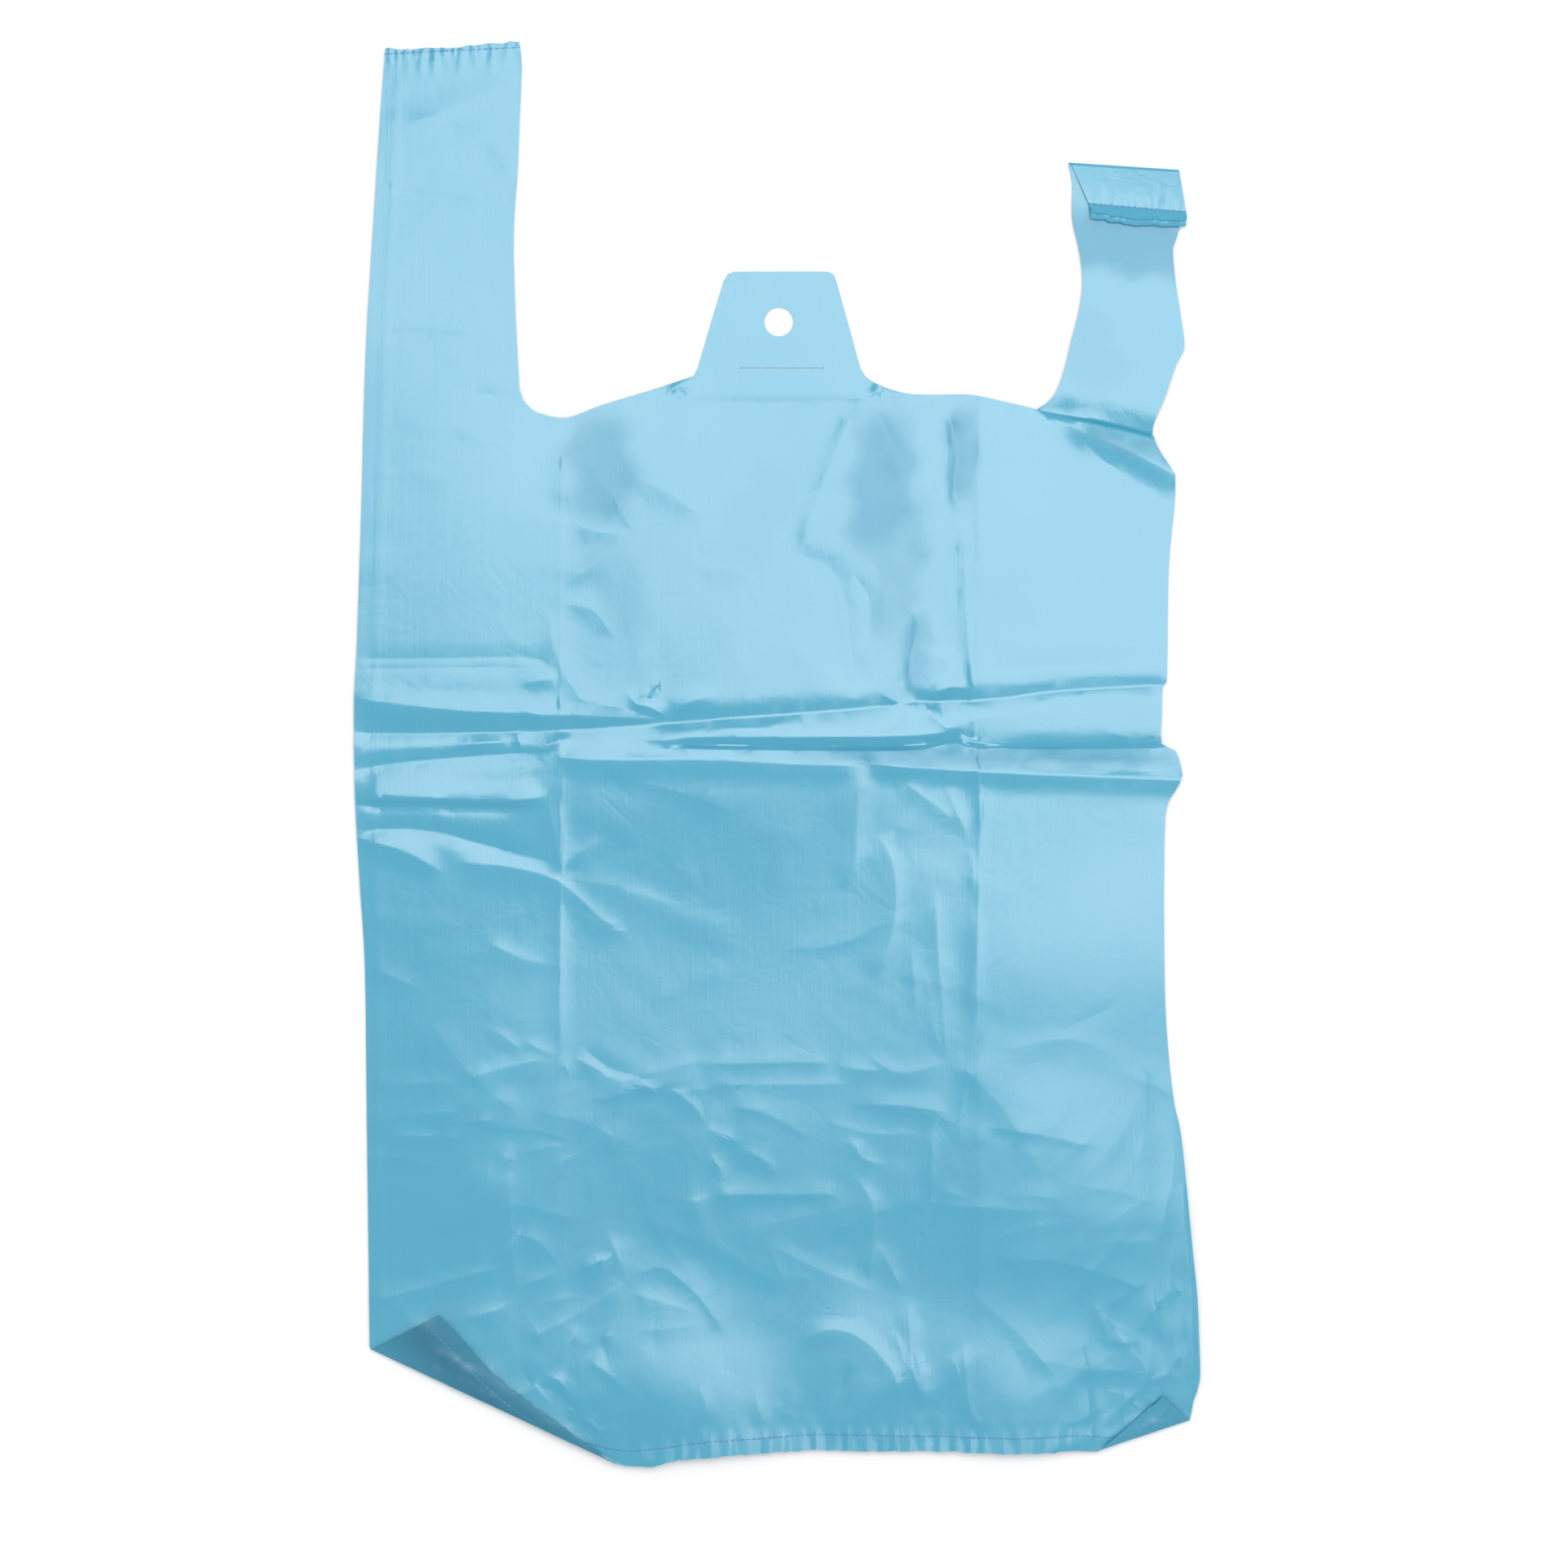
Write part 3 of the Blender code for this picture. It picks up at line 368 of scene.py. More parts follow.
# Broad lie of the film: heights that a smooth surface passes through
lie = [
    (-139.3, 237.2, 0.5), (-88.9, 237.2, 0.5), (-114.1, 209.2, 0.9), (-136.5, 175.6, 0.6), (-93.1, 175.6, 0.6),
    (-140.7, 133.6, 0.6), (-108.5, 142.0, 1.0), (-88.9, 114.0, 0.9),
    (0.7, 161.6, 0.3), (-21.7, 136.4, 0.3), (23.1, 136.4, 0.3), (0.7, 125.2, 0.4), (121.1, 195.2, 0.4),
    (121.1, 167.2, 1.3), (123.9, 139.2, 1.3), (93.1, 121.9, 1.0), (108.5, 118.2, 1.5), (128.1, 112.6, 1.6),
    (-44.1, 116.8, 0.8), (62.3, 116.8, 0.9), (95.9, 102.8, 1.2), (129.5, 91.6, 0.9), (132.3, 63.6, 0.5),
    (95.9, 63.6, 1.5),
    (-140.7, 102.8, 0.5), (-108.5, 91.6, 1.2), (-74.9, 102.8, 1.0), (-55.3, 91.6, 1.5), (-21.7, 97.2, 2.0),
    (11.9, 102.8, 1.8), (39.9, 102.8, 1.0), (67.9, 91.6, 1.3),
    (-140.7, 58.0, 0.6), (-108.5, 58.0, 1.4), (-74.9, 63.6, 1.6), (-38.5, 63.6, 2.2), (-2.1, 69.2, 2.5),
    (28.7, 69.2, 1.7), (48.3, 80.4, 1.3), (73.5, 58.0, 1.6),
    (-142.1, 35.6, 0.8), (-74.9, 38.4, 1.9), (-30.1, 35.6, 2.6), (6.3, 35.6, 2.8), (31.5, 35.6, 1.8),
    (51.1, 38.4, 1.7), (95.9, 38.4, 1.7), (132.3, 38.4, 0.7),
    (-142.1, 13.2, 1.2), (-72.1, 16.0, 2.2), (-35.7, 16.0, 2.6), (0.7, 16.0, 2.8), (39.9, 16.0, 2.4),
    (73.5, 13.2, 2.4), (130.9, 13.2, 1.3),
    (-142.1, -3.6, 1.3), (-100.1, -3.6, 2.0), (-72.1, -6.4, 3.0), (-21.7, -7.8, 3.6), (23.1, -7.8, 3.4),
    (67.9, -12.0, 2.2), (135.1, -12.0, 1.4),
    (-142.1, -28.8, 0.9), (-100.1, -28.8, 1.4), (-66.5, -28.8, 2.2), (-21.7, -28.8, 2.1), (20.3, -28.8, 2.0),
    (37.1, -26.0, 1.8), (67.9, -34.4, 2.0), (123.9, -34.4, 1.2),
    (-142.1, -51.2, 0.6), (-100.1, -51.2, 1.5), (-44.1, -48.4, 1.2), (-2.1, -51.2, 1.0), (25.9, -51.2, 1.2),
    (45.5, -48.4, 1.7), (84.7, -54.0, 2.4), (126.7, -56.8, 1.2),
    (-139.3, -79.2, 0.5), (-100.1, -76.4, 1.8), (-44.1, -76.4, 0.7), (-2.1, -76.4, 0.6), (28.7, -76.4, 1.0),
    (53.9, -76.4, 1.8), (87.5, -79.2, 3.0), (126.7, -82.0, 1.3),
    (-139.3, -104.4, 0.5), (-100.1, -104.4, 2.2), (-60.9, -101.6, 1.3), (-16.1, -101.6, 0.9), (39.9, -101.6, 1.5),
    (84.7, -104.4, 2.7), (126.7, -110.0, 1.0),
    (-137.9, -132.4, 0.5), (-100.1, -132.4, 2.2), (-44.1, -132.4, 0.7), (-4.9, -132.4, 1.3), (34.3, -132.4, 1.2),
    (73.5, -129.6, 3.3), (109.9, -132.4, 3.9), (135.1, -138.0, 1.7),
    (-136.5, -160.4, 0.5), (-100.1, -160.4, 1.9), (-55.3, -160.4, 0.6), (-7.7, -157.6, 0.7), (31.5, -157.6, 0.9),
    (73.5, -157.6, 3.7), (109.9, -160.4, 5.0), (137.9, -160.4, 2.6),
    (-133.7, -180.0, 0.6), (-94.5, -177.2, 1.0), (-60.9, -177.2, 0.9), (-21.7, -177.2, 0.5), (14.7, -177.2, 0.4),
    (42.7, -177.2, 0.7), (76.3, -177.2, 2.6), (112.7, -180.0, 3.0), (139.3, -180.0, 1.8),
    (-111.3, -191.2, 1.0), (-66.5, -191.2, 1.3), (-44.1, -188.4, 1.5), (-21.7, -188.4, 0.8), (6.3, -191.2, 0.6),
    (42.7, -188.4, 0.8), (79.1, -191.2, 1.6), (107.1, -194.0, 1.6), (132.3, -194.0, 1.9),
    (-83.3, -202.4, 1.8), (-66.5, -205.2, 2.7), (-44.1, -199.6, 2.8), (-21.7, -201.0, 1.7), (-2.1, -203.8, 1.1),
    (20.3, -202.4, 2.4), (45.5, -205.2, 1.9), (81.9, -208.0, 3.3), (109.9, -208.0, 1.3), (129.5, -208.0, 1.9),
    (-72.1, -219.2, 3.7), (-44.1, -222.0, 5.0), (-21.7, -222.0, 4.4), (-2.1, -222.0, 2.7), (31.5, -219.2, 3.4),
    (48.3, -222.0, 2.6), (87.5, -220.6, 4.6), (109.9, -222.0, 1.3), (126.7, -219.2, 1.7),
    (-52.5, -234.6, 4.0), (-21.7, -231.8, 4.6), (11.9, -230.4, 2.5), (51.1, -230.4, 2.9), (90.3, -230.4, 4.4),
    (121.1, -230.4, 1.2),
    (-44.1, -243.0, 3.8), (-16.1, -240.2, 4.5), (11.9, -238.8, 2.5), (53.9, -238.2, 2.8), (93.1, -238.8, 4.2),
    (123.9, -238.8, 0.9),
]


def fitLie():
    # Thin-plate surface through the heights above
    p = np.array([(x, y) for x, y, _ in lie])
    z = np.array([h for _, _, h in lie])
    d = np.hypot(p[:, None, 0] - p[None, :, 0], p[:, None, 1] - p[None, :, 1])
    kernel = np.where(d > 0, d * d * np.log(np.maximum(d, 1e-9)), 0)
    kernel += np.eye(len(p)) * film["lieEase"]
    flat = np.column_stack([np.ones(len(p)), p])
    left = np.block([[kernel, flat], [flat.T, np.zeros((3, 3))]])
    return p, np.linalg.solve(left, np.concatenate([z, np.zeros(3)]))


liePoints, lieWeights = fitLie()


def lieHeight(x, y):
    height = lieWeights[-3] + lieWeights[-2] * x + lieWeights[-1] * y
    for (px, py), w in zip(liePoints, lieWeights):
        d2 = (x - px) ** 2 + (y - py) ** 2
        height = height + w * 0.5 * d2 * np.log(np.maximum(d2, 1e-9))
    return np.maximum(height, 0)


# Creases: a line, the height of its crest, how far each side of it reaches (left and right of its way), and
# how sharp it stands where that isn't the usual value. A negative height is a valley.
creaseShape = {"sharp": 1.1, "endShare": 0.4, "endLength": 9.0, "endReach": 0.35, "step": 3.0, "smallStep": 4.0}
namedCreases = [
    # band where the bag was folded across: three ridges with a shut slit between the lower two
    ([(-149.1, 19.4), (-119.7, 15.5), (-88.9, 13.2), (-60.9, 12.1), (-36.8, 11.0)], 0.6, 4, 6),
    ([(-149.1, 6.8), (-125.3, 6.5), (-106.0, 6.8), (-76.9, 7.6), (-41.0, 9.9), (-15.0, 11.8)], -1.0, 6.5, 4, 1.3),
    ([(-36.8, 10.7), (-3.2, 12.7), (23.1, 14.6), (39.6, 16.3), (50.3, 17.7), (63.7, 17.7), (79.1, 18.8),
      (96.5, 21.1), (137.3, 23.6)], -0.9, 6, 4, 1.9),
    ([(-149.1, -7.2), (-134.8, -4.1), (-104.9, -1.3), (-76.0, 0.3)], -0.7, 5, 4, 1.3),
    ([(-77.7, -1.6), (-55.0, -2.5), (-20.9, -2.5), (6.3, -3.9), (32.3, -4.4)], 0.75, 3.4, 7, 1.2),
    ([(28.7, -3.6), (45.5, -5.0), (58.4, -5.8), (71.3, -6.7), (104.3, -8.1), (142.4, -9.5),
      (151.9, -9.7)], 1.0, 3.6, 5.5, 1.2), ([(-46.9, 4.0), (6.3, 5.1), (45.2, 5.9), (62.0, 7.3)], 0.5, 5, 3),
    ([(-37.9, 2.6), (-25.1, 2.3), (6.3, 1.7), (45.2, 1.7), (55.6, 3.1), (62.0, 4.5), (65.7, 2.6), (86.1, 2.3),
      (136.5, 2.6)], -0.8, 3.2, 0.8, 1.3),
    ([(-37.9, 1.7), (6.3, 1.2), (45.2, 1.2), (62.0, 3.7), (86.1, 1.7), (137.1, 2.0)], 0.7, 0.8, 6, 1.0),
    ([(36.0, 6.8), (41.0, 9.6), (46.3, 13.2)], -0.3, 1.5, 2),
    ([(88.1, 17.1), (105.1, 18.8), (125.6, 18.8)], -0.3, 2, 2),
    ([(112.1, -8.1), (124.2, -6.7), (138.5, -3.9)], 0.4, 3, 3),
    ([(-92.8, 3.7), (-90.0, 5.9), (-88.1, 0.3)], 0.25, 2.5, 2.5),
    ([(-81.1, 1.2), (-75.5, 4.3), (-71.0, 6.5)], 0.35, 3, 3),
    ([(-111.3, 0.6), (-102.9, 3.1), (-92.8, 3.7)], 0.25, 3, 3),
    ([(-88.9, 0.1), (-81.1, 1.2), (-74.9, 0.3)], 0.25, 2, 3),
    # soft folds beside it
    ([(-146.3, 32.0), (-116.9, 32.3), (-86.1, 32.5), (-77.7, 29.5)], -0.2, 2.5, 1.3, 1.2),
    ([(-146.3, 28.9), (-111.3, 29.2), (-84.7, 29.5)], -0.16, 1.8, 1.3),
    ([(72.1, 28.3), (95.9, 30.0), (133.4, 32.3)], -0.25, 6, 2, 1.2),
    ([(-145.7, -15.9), (-119.7, -16.5), (-88.9, -16.5), (-78.3, -14.2)], 1.0, 9, 2.5, 1.2),
    ([(-145.7, -18.1), (-104.9, -18.7), (-86.9, -19.3)], -0.5, 2.5, 2.5),
    ([(-145.7, -27.7), (-129.8, -26.0), (-114.9, -27.7), (-104.9, -30.7), (-88.9, -34.4)], -0.5, 4, 4, 1.2),
    ([(-144.9, -29.6), (-128.1, -34.4), (-114.9, -41.7)], 0.6, 5, 6),
    # leaning root of the right handle
    ([(88.6, 118.2), (105.1, 115.4), (118.3, 112.6), (130.9, 109.3), (139.3, 107.0)], -1.3, 7, 1.2, 1.3),
    ([(99.3, 115.4), (108.5, 113.5), (118.3, 111.2), (130.9, 107.9), (139.3, 105.6)], 1.7, 1.2, 12, 1.0),
    ([(95.9, 114.9), (105.1, 110.9), (122.2, 103.7), (136.8, 96.1), (146.3, 91.1)], 1.15, 8, 7, 1.2),
    ([(104.3, 108.4), (116.9, 97.2), (136.8, 84.9)], -0.25, 6, 3),
    # upper body
    ([(27.9, 121.6), (18.3, 98.3), (7.4, 69.5)], 0.8, 9, 4),
    ([(27.9, 121.6), (37.7, 111.2), (43.3, 91.6)], 0.5, 4, 6),
    ([(7.4, 68.4), (13.3, 65.3), (19.2, 61.9), (23.7, 50.2), (25.3, 34.2), (27.9, 19.4)], -0.6, 7, 5, 1.3),
    ([(23.7, 64.2), (28.7, 58.0), (32.1, 50.2), (30.1, 30.9)], -0.4, 4, 4),
    ([(7.4, 68.4), (11.9, 73.7), (14.1, 77.6)], 0.5, 3, 4),
    ([(44.9, 50.2), (49.4, 43.7), (46.1, 33.1), (46.1, 20.2)], 0.6, 4, 3),
    ([(51.4, 50.2), (53.3, 41.2), (52.8, 35.6)], 0.4, 3, 3),
    ([(51.4, 31.4), (56.7, 32.3), (60.1, 28.9), (55.9, 23.3), (50.3, 18.8)], 0.4, 3, 4),
    ([(50.3, 17.7), (59.5, 22.7), (66.5, 21.6)], 0.6, 3, 3), ([(50.3, 17.7), (42.7, 16.6), (35.7, 19.9)], 0.5, 3, 3),
    ([(50.3, 17.7), (53.9, 12.1), (61.2, 6.2)], 0.5, 3, 3),
    ([(58.9, 118.8), (62.3, 103.9), (61.2, 91.6), (62.9, 80.4)], 0.6, 4, 3),
    ([(54.7, 84.6), (53.6, 72.0), (51.9, 62.5)], 0.4, 3, 3),
    ([(64.5, 80.4), (65.1, 52.4), (65.9, 38.4), (67.1, 21.1)], 0.5, 3, 3),
    ([(48.3, 102.8), (50.0, 80.4), (47.7, 63.6)], 0.3, 5, 5),
    ([(-72.9, 108.4), (-71.5, 91.6), (-72.1, 81.5)], 0.5, 3, 8),
    ([(-72.9, 81.5), (-63.7, 76.5), (-49.7, 75.4)], 0.35, 4, 5),
    ([(-57.8, 91.6), (-53.9, 83.2), (-48.3, 74.8)], 0.35, 4, 5),
    ([(-53.9, 94.4), (-41.3, 91.6), (-24.5, 80.4)], 0.35, 6, 6),
    ([(-74.9, 55.5), (-65.1, 63.6), (-53.6, 70.3)], 0.4, 6, 4),
    ([(-74.9, 51.0), (-63.7, 49.1), (-55.3, 38.4)], 0.3, 4, 4),
    ([(-78.3, 48.2), (-77.1, 36.5), (-71.8, 24.4), (-64.3, 17.1), (-48.3, 14.3)], 0.28, 7, 4, 1.2),
    ([(-88.9, 23.0), (-77.7, 25.5), (-73.5, 23.9)], 0.5, 4, 3),
    ([(-52.5, 21.6), (-48.3, 16.6), (-44.1, 15.5), (-36.8, 11.0)], 0.7, 3, 3),
    ([(-44.1, 21.6), (-40.7, 22.7), (-46.9, 17.1)], 0.5, 3, 3),
    ([(-36.8, 11.0), (-30.1, 17.1), (-20.3, 21.1)], 0.4, 4, 4),
    ([(-30.1, 63.6), (-16.1, 62.5), (-6.3, 59.4)], 0.15, 5, 5),
    # left handle
    ([(-129.8, 214.8), (-111.3, 222.7), (-88.1, 232.7)], 0.16, 6, 2.5),
    ([(-136.5, 194.7), (-119.7, 191.9), (-102.3, 189.1)], -0.14, 1.6, 1.4),
    ([(-140.7, 144.3), (-122.5, 144.3), (-104.3, 143.4)], -0.16, 1.6, 1.3),
    ([(-111.3, 124.7), (-100.1, 123.3), (-88.9, 121.3)], -0.16, 3, 2, 1.2),
    ([(-100.7, 210.3), (-95.1, 206.4), (-88.9, 204.7)], 0.35, 3, 3),
    ([(-97.3, 200.3), (-92.3, 202.2), (-88.3, 200.8)], 0.3, 3, 3),
    ([(-111.3, 217.6), (-102.9, 212.0), (-94.5, 211.5)], 0.2, 3, 4),
    ([(-100.1, 107.0), (-93.1, 111.2), (-84.7, 116.3)], 0.12, 4, 3, 1.2),
    ([(-111.3, 114.0), (-102.9, 107.0), (-96.7, 102.8)], 0.10, 5, 3, 1.2),
    # below the mouth
    ([(-38.5, 123.3), (-34.0, 126.3), (-27.3, 129.1)], 0.6, 2.5, 2.5),
    ([(-34.0, 122.4), (-30.1, 125.2), (-26.7, 128.0)], 0.4, 2, 2),
    ([(31.5, 122.4), (35.7, 125.8), (32.1, 129.1)], 0.6, 2.5, 2.5),
    ([(35.7, 123.0), (42.7, 123.5), (45.5, 123.0)], 0.5, 2.5, 2.5),
    # middle below the band
    ([(34.0, -4.4), (28.7, -12.8), (27.6, -24.0), (26.7, -38.9), (22.0, -48.1)], 0.34, 2.4, 9),
    ([(37.9, -5.8), (48.3, -13.4), (64.0, -24.9)], 0.26, 2.4, 4),
    ([(56.7, -8.1), (60.1, -16.2), (64.0, -24.9), (66.2, -31.6)], 0.29, 1.8, 4),
    ([(34.0, -27.7), (38.8, -34.9), (41.0, -46.1), (40.2, -59.3), (36.8, -70.2), (30.4, -78.6)], 0.37, 1.8, 9),
    ([(71.3, -7.8), (70.1, -20.4), (70.4, -28.8)], 0.24, 1.8, 3),
    ([(66.2, -31.6), (67.6, -42.8), (66.8, -49.8)], 0.24, 1.8, 3),
    ([(67.3, -51.2), (67.6, -70.8), (66.2, -93.2)], 0.24, 4, 1.8),
    ([(54.5, -46.1), (55.6, -70.2), (58.4, -106.1)], 0.25, 1.8, 4),
    ([(46.6, -66.6), (47.2, -82.0), (48.3, -93.7)], 0.21, 4, 1.8),
    ([(51.1, -73.6), (53.9, -93.2), (58.4, -106.1)], 0.21, 2.4, 4),
    ([(-74.9, -16.2), (-73.8, -42.8), (-74.9, -70.8), (-74.6, -101.6)], 0.19, 2.4, 4),
    ([(-74.9, -39.1), (-66.5, -33.8), (-60.1, -28.8)], 0.24, 2.4, 5),
    ([(-78.8, -16.2), (-76.6, -28.8), (-74.9, -39.1)], 0.21, 5, 2.4),
    ([(-111.9, -37.7), (-90.9, -39.7), (-74.9, -44.7), (-60.1, -57.6), (-50.0, -61.3)], 0.32, 1.8, 9),
    ([(-74.9, -39.1), (-84.7, -35.8), (-100.1, -33.8)], -0.21, 2.4, 4),
    ([(-63.7, -61.3), (-50.0, -61.3)], 0.24, 1.8, 4),
    ([(-140.7, -74.7), (-134.8, -76.4), (-122.5, -82.0)], 0.21, 2.4, 6),
    ([(-102.1, -63.8), (-88.9, -70.8), (-76.0, -74.7)], 0.19, 2.4, 6),
    ([(-99.8, -93.7), (-91.7, -99.9), (-85.0, -104.7)], 0.24, 2.4, 4),
    ([(-88.9, -97.7), (-82.2, -102.1), (-74.9, -104.7)], 0.26, 1.8, 5),
    # long folds across the lower body
    ([(-109.9, -113.3), (-95.1, -108.9), (-76.0, -104.7)], 0.37, 2.4, 7),
    ([(-140.4, -115.0), (-122.5, -113.9), (-109.9, -113.3)], 0.21, 2.4, 6),
    ([(-74.9, -104.7), (-72.9, -107.7), (-71.0, -112.2)], 0.24, 1.8, 3),
    ([(-70.4, -105.2), (-64.3, -107.7), (-57.5, -111.7)], 0.34, 1.8, 4),
    ([(-67.9, -99.9), (-58.1, -108.6), (-43.0, -112.8)], -0.24, 1.8, 3),
    ([(-50.5, -114.2), (-46.3, -114.7), (-41.9, -116.4)], 0.29, 1.5, 3),
    ([(-38.5, -115.0), (-29.0, -121.7), (-24.8, -128.2)], 0.32, 1.8, 5),
    ([(-24.8, -129.6), (-18.9, -131.3), (-13.3, -134.1)], 0.26, 1.5, 4),
    ([(-23.4, -138.0), (-20.6, -142.5), (-18.3, -146.9)], 0.24, 1.8, 3),
    ([(-14.7, -138.0), (-4.9, -140.2), (0.7, -146.4)], 0.21, 2.4, 4),
    ([(-27.0, -107.7), (-7.7, -107.2), (11.9, -106.9), (20.0, -108.0)], 0.26, 5, 1.8),
    ([(-15.0, -114.7), (6.3, -114.5), (25.9, -113.9)], 0.21, 1.8, 3),
    ([(20.0, -108.0), (30.1, -109.4), (39.6, -109.4)], 0.32, 1.8, 4),
    ([(28.7, -103.5), (42.7, -110.5), (58.4, -106.6)], 0.26, 3, 5),
    ([(-135.9, -132.1), (-119.7, -132.4), (-106.0, -132.7)], 0.29, 1.8, 5),
    ([(-104.9, -127.9), (-100.1, -126.8), (-95.9, -126.2)], 0.24, 1.8, 4),
    ([(-96.7, -139.1), (-93.1, -139.4), (-90.0, -141.1)], 0.26, 1.5, 3),
    ([(-88.9, -138.5), (-77.7, -135.7), (-72.1, -136.6)], 0.21, 1.8, 4),
    ([(30.9, -122.3), (42.7, -123.4), (53.3, -124.8), (61.2, -126.8)], 0.29, 5, 1.8),
    ([(71.0, -128.7), (89.7, -131.5), (112.4, -136.0)], 0.32, 6, 1.8),
    ([(23.9, -132.1), (27.3, -135.7), (29.0, -139.9), (37.7, -141.9)], 0.32, 1.8, 4),
    ([(29.0, -139.9), (25.9, -145.0), (24.8, -149.2)], 0.26, 1.8, 3),
    ([(25.9, -145.0), (30.9, -151.4), (33.2, -157.6), (33.2, -167.4), (31.8, -183.1)], 0.42, 2.4, 6),
    ([(33.7, -167.4), (38.8, -177.2), (43.5, -186.1)], 0.32, 1.8, 3),
    ([(-24.5, -152.8), (-7.7, -152.5), (11.9, -152.5), (23.7, -152.5)], 0.34, 4, 2.1),
    ([(-32.9, -160.4), (-28.7, -155.9), (-24.5, -152.8)], 0.24, 2.4, 4),
    ([(52.5, -154.8), (69.0, -156.7), (94.8, -157.6)], 0.29, 2.4, 5),
    ([(55.3, -150.9), (62.3, -152.5), (68.2, -155.9)], 0.26, 1.8, 4),
    ([(53.9, -126.8), (53.3, -140.8), (53.1, -154.8)], 0.24, 1.8, 4),
    ([(76.9, -103.5), (89.7, -99.9), (103.7, -99.1), (117.7, -105.5), (130.9, -113.3)], 0.29, 2.4, 7),
    ([(99.3, -94.9), (108.5, -90.9), (117.7, -86.2)], -0.17, 1.8, 3),
    ([(128.9, -110.5), (135.9, -121.5), (136.2, -145.8), (132.9, -160.4), (132.0, -171.6)], 0.34, 6, 2.4),
    ([(74.9, -175.8), (89.7, -174.7), (104.6, -177.2), (118.3, -181.7), (128.1, -186.1)], 0.42, 8, 2.4),
    ([(-90.9, -165.7), (-81.9, -168.8), (-74.9, -177.7)], 0.29, 1.8, 5),
    ([(-92.5, -140.8), (-91.7, -166.0), (-90.0, -188.4)], 0.24, 1.8, 4),
    ([(-58.9, -163.7), (-55.9, -171.6), (-51.9, -181.7)], 0.26, 2.4, 4),
    ([(-71.0, -178.9), (-62.3, -176.1), (-53.9, -173.0)], 0.24, 1.8, 4),
    ([(-140.4, -189.2), (-125.3, -185.6), (-111.9, -181.7), (-92.8, -177.2)], 0.32, 2.4, 4),
    ([(-89.5, -183.6), (-81.9, -181.7), (-74.9, -177.7)], 0.32, 1.8, 4),
    ([(-108.5, -195.7), (-100.1, -193.4), (-92.0, -190.3)], 0.32, 1.8, 5),
    ([(-86.9, -202.7), (-69.0, -193.7), (-59.5, -187.8), (-51.9, -181.7)], 0.32, 1.8, 8),
    ([(-51.9, -181.7), (-39.9, -177.7), (-27.9, -186.7), (-16.9, -201.8)], 0.29, 8, 1.8),
    ([(-62.0, -198.7), (-59.5, -205.7), (-57.0, -214.1)], -0.26, 2.4, 4),
    ([(-42.4, -188.4), (-41.9, -199.6), (-42.4, -210.8)], -0.18, 3, 5),
    ([(-88.9, -208.8), (-85.0, -216.7), (-74.9, -220.9), (-65.9, -232.6), (-57.5, -241.6)], -0.42, 3, 5),
    ([(-80.5, -213.6), (-74.9, -216.4), (-70.7, -224.2)], 0.34, 1.8, 3),
    ([(6.3, -203.8), (17.2, -199.0), (27.9, -201.0), (38.8, -211.6), (43.5, -225.3)], 0.42, 2.4, 6),
    ([(25.1, -208.8), (23.1, -216.4), (19.2, -225.9)], -0.45, 1.8, 3),
    ([(45.5, -188.1), (46.1, -202.4), (47.5, -214.7), (51.4, -225.9)], 0.48, 1.5, 5),
    ([(40.7, -197.1), (42.7, -205.2), (46.1, -213.6)], 0.34, 1.5, 3),
    ([(64.5, -202.4), (65.1, -216.4), (66.8, -227.6), (72.4, -233.7)], 0.34, 1.8, 4),
    ([(59.5, -205.2), (63.4, -216.4), (69.6, -231.8)], 0.29, 1.8, 3),
    ([(108.5, -188.4), (113.3, -199.6), (115.5, -203.8)], 0.34, 2.4, 4),
    ([(128.1, -186.1), (130.9, -195.4), (135.7, -205.2)], 0.34, 2.4, 4),
    ([(128.9, -201.8), (127.0, -216.7), (117.2, -226.5)], 0.4, 2.4, 5),
    ([(139.3, -143.6), (141.5, -177.2), (142.7, -199.6), (143.2, -222.0)], 0.32, 1.5, 2.5),
    ([(137.9, -166.0), (135.1, -188.4), (139.3, -216.4)], 0.26, 2.4, 4),
    ([(-27.3, -216.4), (-24.5, -226.2), (-30.1, -233.2)], 0.26, 2.4, 4),
    ([(-7.7, -216.4), (-6.3, -226.2), (-2.1, -233.7)], 0.29, 2.4, 4),
    ([(6.3, -216.4), (4.9, -224.8), (2.1, -233.2)], 0.26, 1.8, 4),
    ([(79.1, -202.4), (85.3, -213.6), (87.5, -226.2)], -0.24, 3, 5),
    ([(104.3, -216.4), (108.5, -227.6), (104.3, -234.6)], 0.29, 2.4, 4),
    # turned up lower left corner
    ([(-136.5, -208.5), (-116.9, -213.6), (-88.9, -227.0)], 0.35, 3, 4),
    ([(-122.5, -203.8), (-105.7, -213.6), (-86.1, -224.8)], 0.3, 2.6, 3),
    ([(-100.1, -216.4), (-83.3, -227.6), (-63.7, -240.2)], 0.3, 2.6, 3),
    ([(-134.3, -207.4), (-122.5, -201.8), (-114.7, -194.5)], 0.25, 3, 3),
    # turned up lower right corner
    ([(109.9, -239.3), (119.4, -232.6), (127.3, -226.5), (132.9, -220.9)], 0.35, 1.8, 2.5),
    ([(117.2, -236.0), (127.3, -232.1), (137.9, -229.8)], 0.35, 1.8, 2.5),
    ([(123.9, -229.0), (129.5, -226.2), (135.1, -222.5)], -0.4, 1.5, 2),
    # tab
    ([(-22.3, 152.1), (-17.2, 153.5), (-12.2, 152.1)], 0.12, 1.2, 1.6),
    ([(-21.7, 149.6), (-16.1, 150.4), (-11.1, 153.8)], 0.10, 1.2, 1.6),
    ([(5.7, 148.5), (13.6, 148.5), (22.3, 149.0)], -0.10, 1.2, 1.4),
    ([(17.5, 153.2), (21.4, 151.0), (23.4, 148.2)], 0.10, 1.2, 1.4),
]

